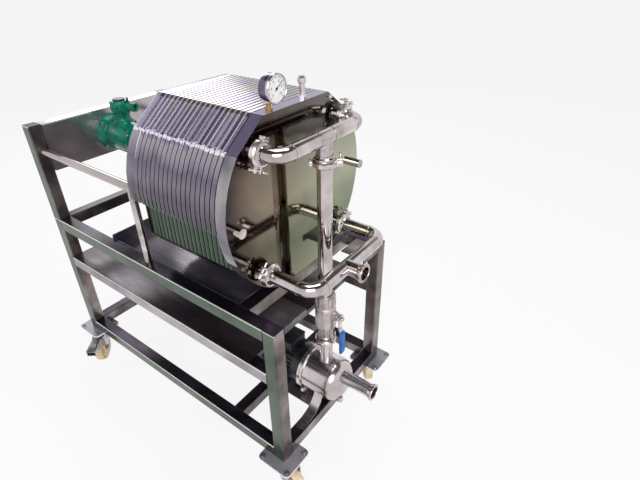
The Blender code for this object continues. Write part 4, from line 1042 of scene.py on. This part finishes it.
STRAP_THICKNESS = 0.002
STRAP_INSET = 0.004
tube_low, tube_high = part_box("front_bottom_cross")
strap_back_x = tube_low.x + STRAP_INSET
strap_outline = [(y, rise + STRAP_THICKNESS) for y, rise in STRAP_PATH] + list(reversed(STRAP_PATH))
strap_corners = [(strap_back_x, y, tube_high.z + rise) for y, rise in strap_outline]
strap_shape = bmesh.new()
pushed(strap_shape, strap_corners, (tube_high.x - STRAP_INSET - strap_back_x, 0, 0))
piece("pump_foot_strap", strap_shape, pump_look, "trolley", "polished_stainless")

# The motor is a black-painted casting with cooling fins, a fan cowl and a terminal box, on two feet that
# are bolted to a folded base plate between the cross tubes.
MOTOR_PROFILE = (
    (0, 0.1844), (0.0630, 0.1844), (0.0655, 0.1825), (0.0655, 0.1610), (0.0640, 0.1565), (0.0585, 0.1550),
    (0.0585, 0.0420), (0.0640, 0.0412), (0.0655, 0.0385), (0.0655, 0.0110), (0.0630, 0.0050),
    (0.0560, 0.0012), (0, 0.0010),
)
FIN_COUNT = 30
GRILLE_BARS = 12
motor_start = Vector((motor_low.x, 0, pump_z))
motor_shape = bmesh.new()
turned(motor_shape, MOTOR_PROFILE, facing((1, 0, 0), motor_start), sides=64)
for fin_place in spread(Matrix.Translation(motor_start), FIN_COUNT, "X", 0.5):
    block(motor_shape, (0.0400, -0.0013, 0.0560), (0.1570, 0.0013, 0.0655), 0.0008, fin_place)
for grille_place in spread(Matrix.Translation(motor_start), GRILLE_BARS, "X"):
    block(motor_shape, (-0.0004, -0.0018, 0.0180), (0.0030, 0.0018, 0.0500), 0.0006, grille_place)
BOX_HALF_WIDTH = 0.036
BOX_START, BOX_END = 0.059, 0.144
LID_EDGE = 0.001
box_back, box_front = motor_low.x + BOX_START, motor_low.x + BOX_END
lid_low = (box_back - LID_EDGE, -BOX_HALF_WIDTH - LID_EDGE, motor_high.z - 0.0055)
lid_high = (box_front + LID_EDGE, BOX_HALF_WIDTH + LID_EDGE, motor_high.z)
box_low = (box_back, -BOX_HALF_WIDTH, pump_z + 0.040)
block(motor_shape, box_low, (box_front, BOX_HALF_WIDTH, motor_high.z - 0.004), 0.004)
block(motor_shape, lid_low, lid_high, 0.0018)
for bolt_x in (box_back + 0.007, box_front - 0.007):
    for bolt_y in (-0.030, 0.030):
        lid_bolt = Matrix.Translation((bolt_x, bolt_y, motor_high.z))
        stack(motor_shape, lid_bolt, (-0.002, 0.0014, 0.0030, 0.0030, 12))
gland_place = facing((0, 1, 0), (box_back + 0.022, 0, motor_high.z - 0.016))
stack(motor_shape, gland_place, (0.034, 0.045, 0.0095, 0.0095, 6), (0.044, 0.052, 0.0080, 0.0066, 24))
piece("motor_shell", motor_shape, black_look, "trolley", "black_paint", "pump_motor")

BASE_PLATE = 0.005
FOOT_STARTS = (0.010, 0.066)
FOOT_LENGTH = 0.026
FOOT_HALF_WIDTH = 0.054
base_low, base_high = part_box("pump_base")
plate_top = base_low.z + BASE_PLATE
base_shape = bmesh.new()
block(base_shape, base_low, (base_high.x, base_high.y, plate_top), 0.0012)
piece("pump_base_plate", base_shape, tray_look, "trolley", "brushed_stainless", "pump_base")
feet = bmesh.new()
for foot_x in [base_low.x + start for start in FOOT_STARTS]:
    sole_high = (foot_x + FOOT_LENGTH, FOOT_HALF_WIDTH, plate_top + 0.0095)
    block(feet, (foot_x, -FOOT_HALF_WIDTH, plate_top + 0.0002), sole_high, 0.0025)
    for side in (-1, 1):
        low_y, high_y = sorted((side * 0.022, side * 0.044))
        block(feet, (foot_x + 0.004, low_y, plate_top + 0.006), (foot_x + 0.022, high_y, base_high.z), 0.0025)
        foot_bolt = Matrix.Translation((foot_x + FOOT_LENGTH / 2, side * 0.049, plate_top))
        stack(feet, foot_bolt, (0.008, 0.015, 0.0058, 0.0058, 6))
piece("motor_feet", feet, black_look, "trolley", "black_paint")

# The outlet valve is a matt investment casting between a fluted neck and a fluted union nut. A flat steel
# lever in a blue vinyl sleeve turns its ball.
cast_look = drifting(
    "cast_valve_steel",
    (0.02,),
    (0.42, 0.365, 0.355),
    (0.62, 0.565, 0.555),
    ((0.004,), 0.30, 0.48),
    metallic=1.0,
)
cast_look.bump(cast_look.noise(0.004), 0.0004)
VALVE_PROFILE = (
    (0, 0), (0.0205, 0), (0.0215, 0.0020), (0.0215, 0.0050), (0.0185, 0.0080), (0.0180, 0.0300),
    (0.0210, 0.0345), (0.0272, 0.0400), (0.0294, 0.0460), (0.0300, 0.0540), (0.0300, 0.1060),
    (0.0290, 0.1130), (0.0262, 0.1180), (0.0245, 0.1215), (0, 0.1215),
)
FLUTE_COUNT = 12
NUT_EDGE = 0.003
LEVER_HUB = 0.014
LEVER_GAP = 0.0004
valve_low, valve_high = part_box("valve_body")
lever_low, lever_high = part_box("valve_lever")
lever_z = lever_high.z - LEVER_HUB
valve_place = Matrix.Translation((riser_x, 0, valve_low.z))
valve_height = valve_high.z - valve_low.z
valve_shape = bmesh.new()
turned(valve_shape, VALVE_PROFILE, valve_place)
stack(
    valve_shape,
    valve_place,
    (0.120, valve_height - NUT_EDGE, 0.0268),
    (valve_height - NUT_EDGE, valve_height, 0.0262, 0.0230),
)
for number, flute_place in enumerate(spread(valve_place, FLUTE_COUNT, "Z")):
    block(valve_shape, (0.0250, -0.0034, 0.1235), (0.0292, 0.0034, 0.1565), 0.0012, flute_place)
    if number % 2:
        block(valve_shape, (0.0160, -0.0030, 0.0100), (0.0208, 0.0030, 0.0330), 0.0012, flute_place)
stack(
    valve_shape,
    facing((1, 0, 0), (riser_x, 0, lever_z)),
    (0.026, 0.036, 0.0150, 0.0135),
    (0.036, 0.042, 0.0128, 0.0128, 6),
    (0.040, lever_low.x - LEVER_GAP - riser_x, 0.0070, 0.0070, 24),
)
piece("valve_casting", valve_shape, cast_look, "trolley", "brushed_stainless", "valve_body")

STRAP_HALF_WIDTH = 0.0085
STRAP_BEND = math.radians(-24)
SLEEVE_HALF_WIDTH = 0.0108
SLEEVE_RIBS = 5
SLEEVE_RIB_PITCH = 0.008
strap = bmesh.new()
strap_x = lever_low.x
strap_place = facing((1, 0, 0), (strap_x, 0, lever_z))
stack(strap, strap_place, (0, 0.0035, 0.0135))
strap_low = (strap_x, -STRAP_HALF_WIDTH, lever_z - 0.040)
block(strap, strap_low, (strap_x + 0.0030, STRAP_HALF_WIDTH, lever_z), 0.0008)
strap_turn = Matrix.Rotation(STRAP_BEND, 4, "Y")
strap_bend = Matrix.Translation((strap_x + 0.0002, 0, lever_z - 0.036)) @ strap_turn
block(strap, (0, -STRAP_HALF_WIDTH, -0.0175), (0.0030, STRAP_HALF_WIDTH, 0.002), 0.0008, strap_bend)
stack(strap, strap_place, (0.003, 0.0095, 0.0085, 0.0080, 6), (0.009, 0.0135, 0.0042, 0.0042, 16))
piece("lever_strap", strap, clamp_look, "valve_handle", "brushed_stainless", "valve_lever")
sleeve_look = drifting("blue_vinyl", (0.02,), (0.010, 0.085, 0.36), (0.020, 0.145, 0.52), roughness=0.42)
sleeve = bmesh.new()
sleeve_high = (strap_x + 0.0135, SLEEVE_HALF_WIDTH, lever_z - 0.046)
block(sleeve, (strap_x + 0.0040, -SLEEVE_HALF_WIDTH, lever_low.z), sleeve_high, 0.0040)
for number in range(SLEEVE_RIBS):
    rib_z = lever_low.z + 0.012 + number * SLEEVE_RIB_PITCH
    block(sleeve, (strap_x + 0.0050, -0.0112, rib_z), (strap_x + 0.0140, 0.0112, rib_z + 0.003), 0.0012)
piece("lever_sleeve", sleeve, sleeve_look, "valve_handle", "ivory_nylon")

# The pressure gauge is a bright pressed case with a white dial, on a brass stem in the head's top. The
# air vent beside it is a short nipple under a round cap.
GAUGE_SHARE = 0.88
GAUGE_TOP = 0.0385
GAUGE_DEPTH = 0.034
RIM_DEPTH = 0.0075
DIAL_SETBACK = 0.0037
DIAL_RADIUS = 0.0320
CASE_PROFILE = (
    (0, 0), (0.0290, 0), (0.0335, 0.0015), (0.0345, 0.0050), (0.0345, 0.0250), (0.0362, 0.0262),
    (0.0365, 0.0290), (0.0365, 0.0325), (0.0352, 0.0340), (0.0335, 0.0340), (0.0325, 0.0330),
    (0.0322, 0.0300), (0, 0.0300),
)
gauge_low, gauge_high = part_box("pressure_gauge")
gauge_y = (gauge_low.y + gauge_high.y) / 2
gauge_z = gauge_high.z - GAUGE_TOP
gauge_centre = Matrix.Translation((gauge_high.x, gauge_y, gauge_z))
gauge_sized = gauge_centre @ Matrix.Scale(GAUGE_SHARE, 4) @ gauge_centre.inverted()
gauge_place = gauge_sized @ facing((1, 0, 0), (gauge_high.x - GAUGE_DEPTH, gauge_y, gauge_z))
case_look = Finish("gauge_case_steel", metallic=1.0, roughness=0.14)
case_side = case_look.ramp(case_look.noise(0.02), (0.3, (0.075, 0.060, 0.120)), (0.7, (0.24, 0.21, 0.28)))
on_rim = case_look.x.above(gauge_high.x - RIM_DEPTH)
case_look.set(base_color=case_look.mix(on_rim, case_side, (0.55, 0.53, 0.56)))
case = bmesh.new()
turned(case, CASE_PROFILE, gauge_place, sides=72)
piece("gauge_case", case, case_look, "trolley", "gauge_case", "pressure_gauge")
dial_look = drifting(
    "white_dial",
    (0.02,),
    (0.72, 0.72, 0.70),
    (0.84, 0.84, 0.82),
    roughness=0.35,
    coat_weight=0.7,
    coat_roughness=0.03,
)
dial = bmesh.new()
dial_x = gauge_high.x - DIAL_SETBACK
bar(dial, (dial_x - 0.0004, gauge_y, gauge_z), (dial_x, gauge_y, gauge_z), DIAL_RADIUS, sides=64)
bmesh.ops.transform(dial, matrix=gauge_sized, verts=dial.verts)
piece("gauge_dial", dial, dial_look, "trolley", "gauge_case")


# The dial is printed from 0 to 10 over 270 degrees, with every third mark longer, and a needle.
def dial_place(angle):
    """A place on the dial whose Z points outward at an angle clockwise from straight up."""
    return Matrix.Translation((dial_x, gauge_y, gauge_z)) @ Matrix.Rotation(math.radians(-angle), 4, "X")


DIAL_START = -135
MARK_COUNT, MARK_TURN = 31, 9
NUMBER_COUNT, NUMBER_TURN = 6, 54
NUMBER_RADIUS = 0.0188
NUMBER_SIZE = 0.0085
NEEDLE_TURN = 54
marks_look = Finish("dial_print", base_color=(0.012, 0.012, 0.014))
marks_look.set(roughness=marks_look.noise(0.01).between(0.35, 0.5))
marks = bmesh.new()
for number in range(MARK_COUNT):
    half_width, inner = (0.0003, 0.0268) if number % 3 else (0.0006, 0.0245)
    mark_place = dial_place(DIAL_START + MARK_TURN * number)
    block(marks, (0.0001, -half_width, inner), (0.0004, half_width, 0.0295), 0, mark_place)
for number in range(NUMBER_COUNT):
    words = bpy.data.curves.new("dial_number", "FONT")
    words.body = str(2 * number)
    words.size = NUMBER_SIZE
    words.align_x = "CENTER"
    words.align_y = "CENTER"
    holder = bpy.data.objects.new("dial_number", words)
    flat = bpy.data.meshes.new_from_object(holder)
    angle = math.radians(DIAL_START + NUMBER_TURN * number)
    across, upward = NUMBER_RADIUS * math.sin(angle), NUMBER_RADIUS * math.cos(angle)
    spot = Vector((dial_x + 0.0003, gauge_y + across, gauge_z + upward))
    flat.transform(Matrix.Translation(spot) @ Matrix(((0, 0, 1), (1, 0, 0), (0, 1, 0))).to_4x4())
    marks.from_mesh(flat)
    bpy.data.objects.remove(holder)
    bpy.data.meshes.remove(flat)
    bpy.data.curves.remove(words)
needle_place = dial_place(NEEDLE_TURN)
block(marks, (0.0008, -0.0009, -0.0080), (0.0014, 0.0009, 0.0120), 0.0002, needle_place)
block(marks, (0.0008, -0.0005, 0.0100), (0.0014, 0.0005, 0.0262), 0.0002, needle_place)
bar(marks, (dial_x, gauge_y, gauge_z), (dial_x + 0.0022, gauge_y, gauge_z), 0.0030, sides=20)
bmesh.ops.transform(marks, matrix=gauge_sized, verts=marks.verts)
piece("gauge_marks", marks, marks_look, "trolley", "gauge_case")

brass_look = drifting(
    "brass", (0.01,), (0.30, 0.18, 0.07), (0.62, 0.43, 0.20), ((0.005,), 0.2, 0.38), metallic=1.0
)
stem_x = (head_low.x + head_high.x) / 2
stem = bmesh.new()
stack(
    stem,
    Matrix.Translation((stem_x, gauge_y, gauge_low.z)),
    (0, 0.0085, 0.0088, 0.0088, 6),
    (0.008, gauge_z - 0.033 - gauge_low.z, 0.0055, 0.0055, 24),
)
piece("gauge_stem", stem, brass_look, "trolley", "gauge_case")
VENT_CAP = 0.014
VENT_CROWN = 0.004
vent_low, vent_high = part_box("air_vent")
vent_place = Matrix.Translation((stem_x, (vent_low.y + vent_high.y) / 2, vent_low.z))
vent_height = vent_high.z - vent_low.z
vent = bmesh.new()
stack(
    vent,
    vent_place,
    (0, 0.007, 0.0095, 0.0095, 6),
    (0.006, vent_height - VENT_CAP, 0.0070),
    (vent_height - 0.017, vent_height - VENT_CAP, 0.0078, 0.0098),
    (vent_height - VENT_CAP, vent_height - VENT_CROWN, 0.0098),
    (vent_height - VENT_CROWN, vent_height, 0.0098, 0.0070),
)
piece("vent_cap", vent, clamp_look, "trolley", "polished_stainless", "air_vent")

# The castors are pressed zinc-plated forks on ball races, with cream nylon wheels, and the rear pair has
# brake pedals. Four bolts hold each castor under the pad that is welded to its post.
zinc_look = drifting(
    "zinc_plated_fork", (0.02,), (0.26, 0.25, 0.27), (0.56, 0.55, 0.58), ((0.008,), 0.22, 0.42), metallic=1.0
)
nylon_look = drifting("cream_nylon", (0.03,), (0.62, 0.44, 0.24), (0.86, 0.72, 0.50), ((0.01,), 0.35, 0.55))
TRAIL = 0.035
AXLE_Z = 0.050
CHEEK_IN = 0.0185
CHEEK_OUT = 0.0215
AXLE_BOSS = 0.0125
CROWN_INSET = 0.0003
WHEEL_WEBS = 8
POST_TO_SWIVEL = Vector((0.057, 0.019))
PAD_BOLTS = [(x, y) for x in (-0.045, 0.045) for y in (-0.039, 0.039)]
RACE_PROFILE = (
    (0, 0.1090), (0.0290, 0.1090), (0.0305, 0.1105), (0.0300, 0.1150), (0.0265, 0.1165), (0.0265, 0.1185),
    (0.0298, 0.1200), (0.0300, 0.1260), (0.0285, 0.1292), (0, 0.1292),
)
WHEEL_PROFILE = [
    (0.0066, 0.0150), (0.0150, 0.0150), (0.0165, 0.0140), (0.0172, 0.0100), (0.0368, 0.0096),
    (0.0392, 0.0125), (0.0412, 0.0138), (0.0462, 0.0138), (0.0486, 0.0118), (0.0500, 0.0070),
]
WHEEL_PROFILE += [(radius, -height) for radius, height in reversed(WHEEL_PROFILE)]
cheek_outline = [(-0.022, 0.1085), (0.047, 0.1085), (0.0470, 0.086)]
for step in range(11):
    angle = math.radians(10 - 18 * step)
    cheek_outline.append((TRAIL + AXLE_BOSS * math.cos(angle), AXLE_Z + AXLE_BOSS * math.sin(angle)))
cheek_outline.append((-0.022, 0.090))


def castor_fork(swivel, braked):
    """A pressed fork on its ball race, with a brake pedal where it is braked."""
    fork = bmesh.new()
    turned(fork, RACE_PROFILE, swivel)
    crown_y = CHEEK_OUT - CROWN_INSET
    block(fork, (-0.030, -crown_y, 0.1050), (0.047, crown_y, 0.1095), 0.0014, swivel)
    axle = swivel @ facing((0, 1, 0), (TRAIL, 0, AXLE_Z))
    for side in (-1, 1):
        cheek = [swivel @ Vector((u, side * CHEEK_IN, w)) for u, w in cheek_outline]
        pushed(fork, cheek, swivel.to_3x3() @ Vector((0, side * (CHEEK_OUT - CHEEK_IN), 0)))
        stack(fork, axle, (side * (CHEEK_OUT - 0.001), side * (CHEEK_OUT + 0.0045), 0.0090, 0.0090, 6))
    stack(fork, axle, (-0.0270, 0.0270, 0.0050, 0.0050, 20))
    if braked:
        block(fork, (0.035, -0.017, 0.1062), (0.125, 0.017, 0.1100), 0.0016, swivel)
        block(fork, (0.092, -0.0168, 0.0882), (0.1245, 0.0168, 0.0912), 0.0012, swivel)
        for side in (-1, 1):
            low_y, high_y = sorted((side * 0.0140, side * 0.0168))
            block(fork, (0.082, low_y, 0.0885), (0.1225, high_y, 0.1080), 0.0010, swivel)
    return fork


def castor_wheel(swivel):
    """A moulded wheel with webs between its hub and its tread."""
    wheel = bmesh.new()
    hub = swivel @ facing((0, 1, 0), (TRAIL, 0, AXLE_Z))
    turned(wheel, WHEEL_PROFILE, hub, sides=64)
    for web_place in spread(hub, WHEEL_WEBS, "Z"):
        block(wheel, (0.0160, -0.0014, -0.0122), (0.0385, 0.0014, 0.0122), 0.0008, web_place)
    return wheel


# Each castor has its end, its side and the way its wheel trails, in degrees.
CASTORS = (("rear", -1, -50), ("rear", 1, 50), ("front", -1, -10), ("front", 1, 130))
pad_low_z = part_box("rear_post_left")[0].z
pad_bolts = bmesh.new()
for end, side, direction in CASTORS:
    corner = f"{end}_{'left' if side < 0 else 'right'}"
    centre_x = rear_x + POST_TO_SWIVEL.x if end == "rear" else front_x - POST_TO_SWIVEL.x
    centre = Vector((centre_x, side * (-left_y - POST_TO_SWIVEL.y), 0))
    swivel = Matrix.Translation(centre) @ Matrix.Rotation(math.radians(direction), 4, "Z")
    fork = castor_fork(swivel, end == "rear")
    fork_name = f"castor_fork_{corner}"
    piece(f"{fork_name}_pressing", fork, zinc_look, f"fork_{corner}", "zinc_plate", fork_name)
    wheel = castor_wheel(swivel)
    wheel_name = f"castor_wheel_{corner}"
    piece(f"{wheel_name}_tyre", wheel, nylon_look, f"wheel_{corner}", "ivory_nylon", wheel_name)
    for bolt_x, bolt_y in PAD_BOLTS:
        stack(
            pad_bolts,
            Matrix.Translation(centre + Vector((bolt_x, bolt_y, pad_low_z))),
            (0.0055, 0.0068, 0.0082, 0.0082, 24),
            (0.0065, 0.0115, 0.0062, 0.0058, 6),
            (-0.0055, 0.0005, 0.0062, 0.0062, 6),
        )
piece("pad_bolts", pad_bolts, zinc_look, "trolley", "zinc_plate")
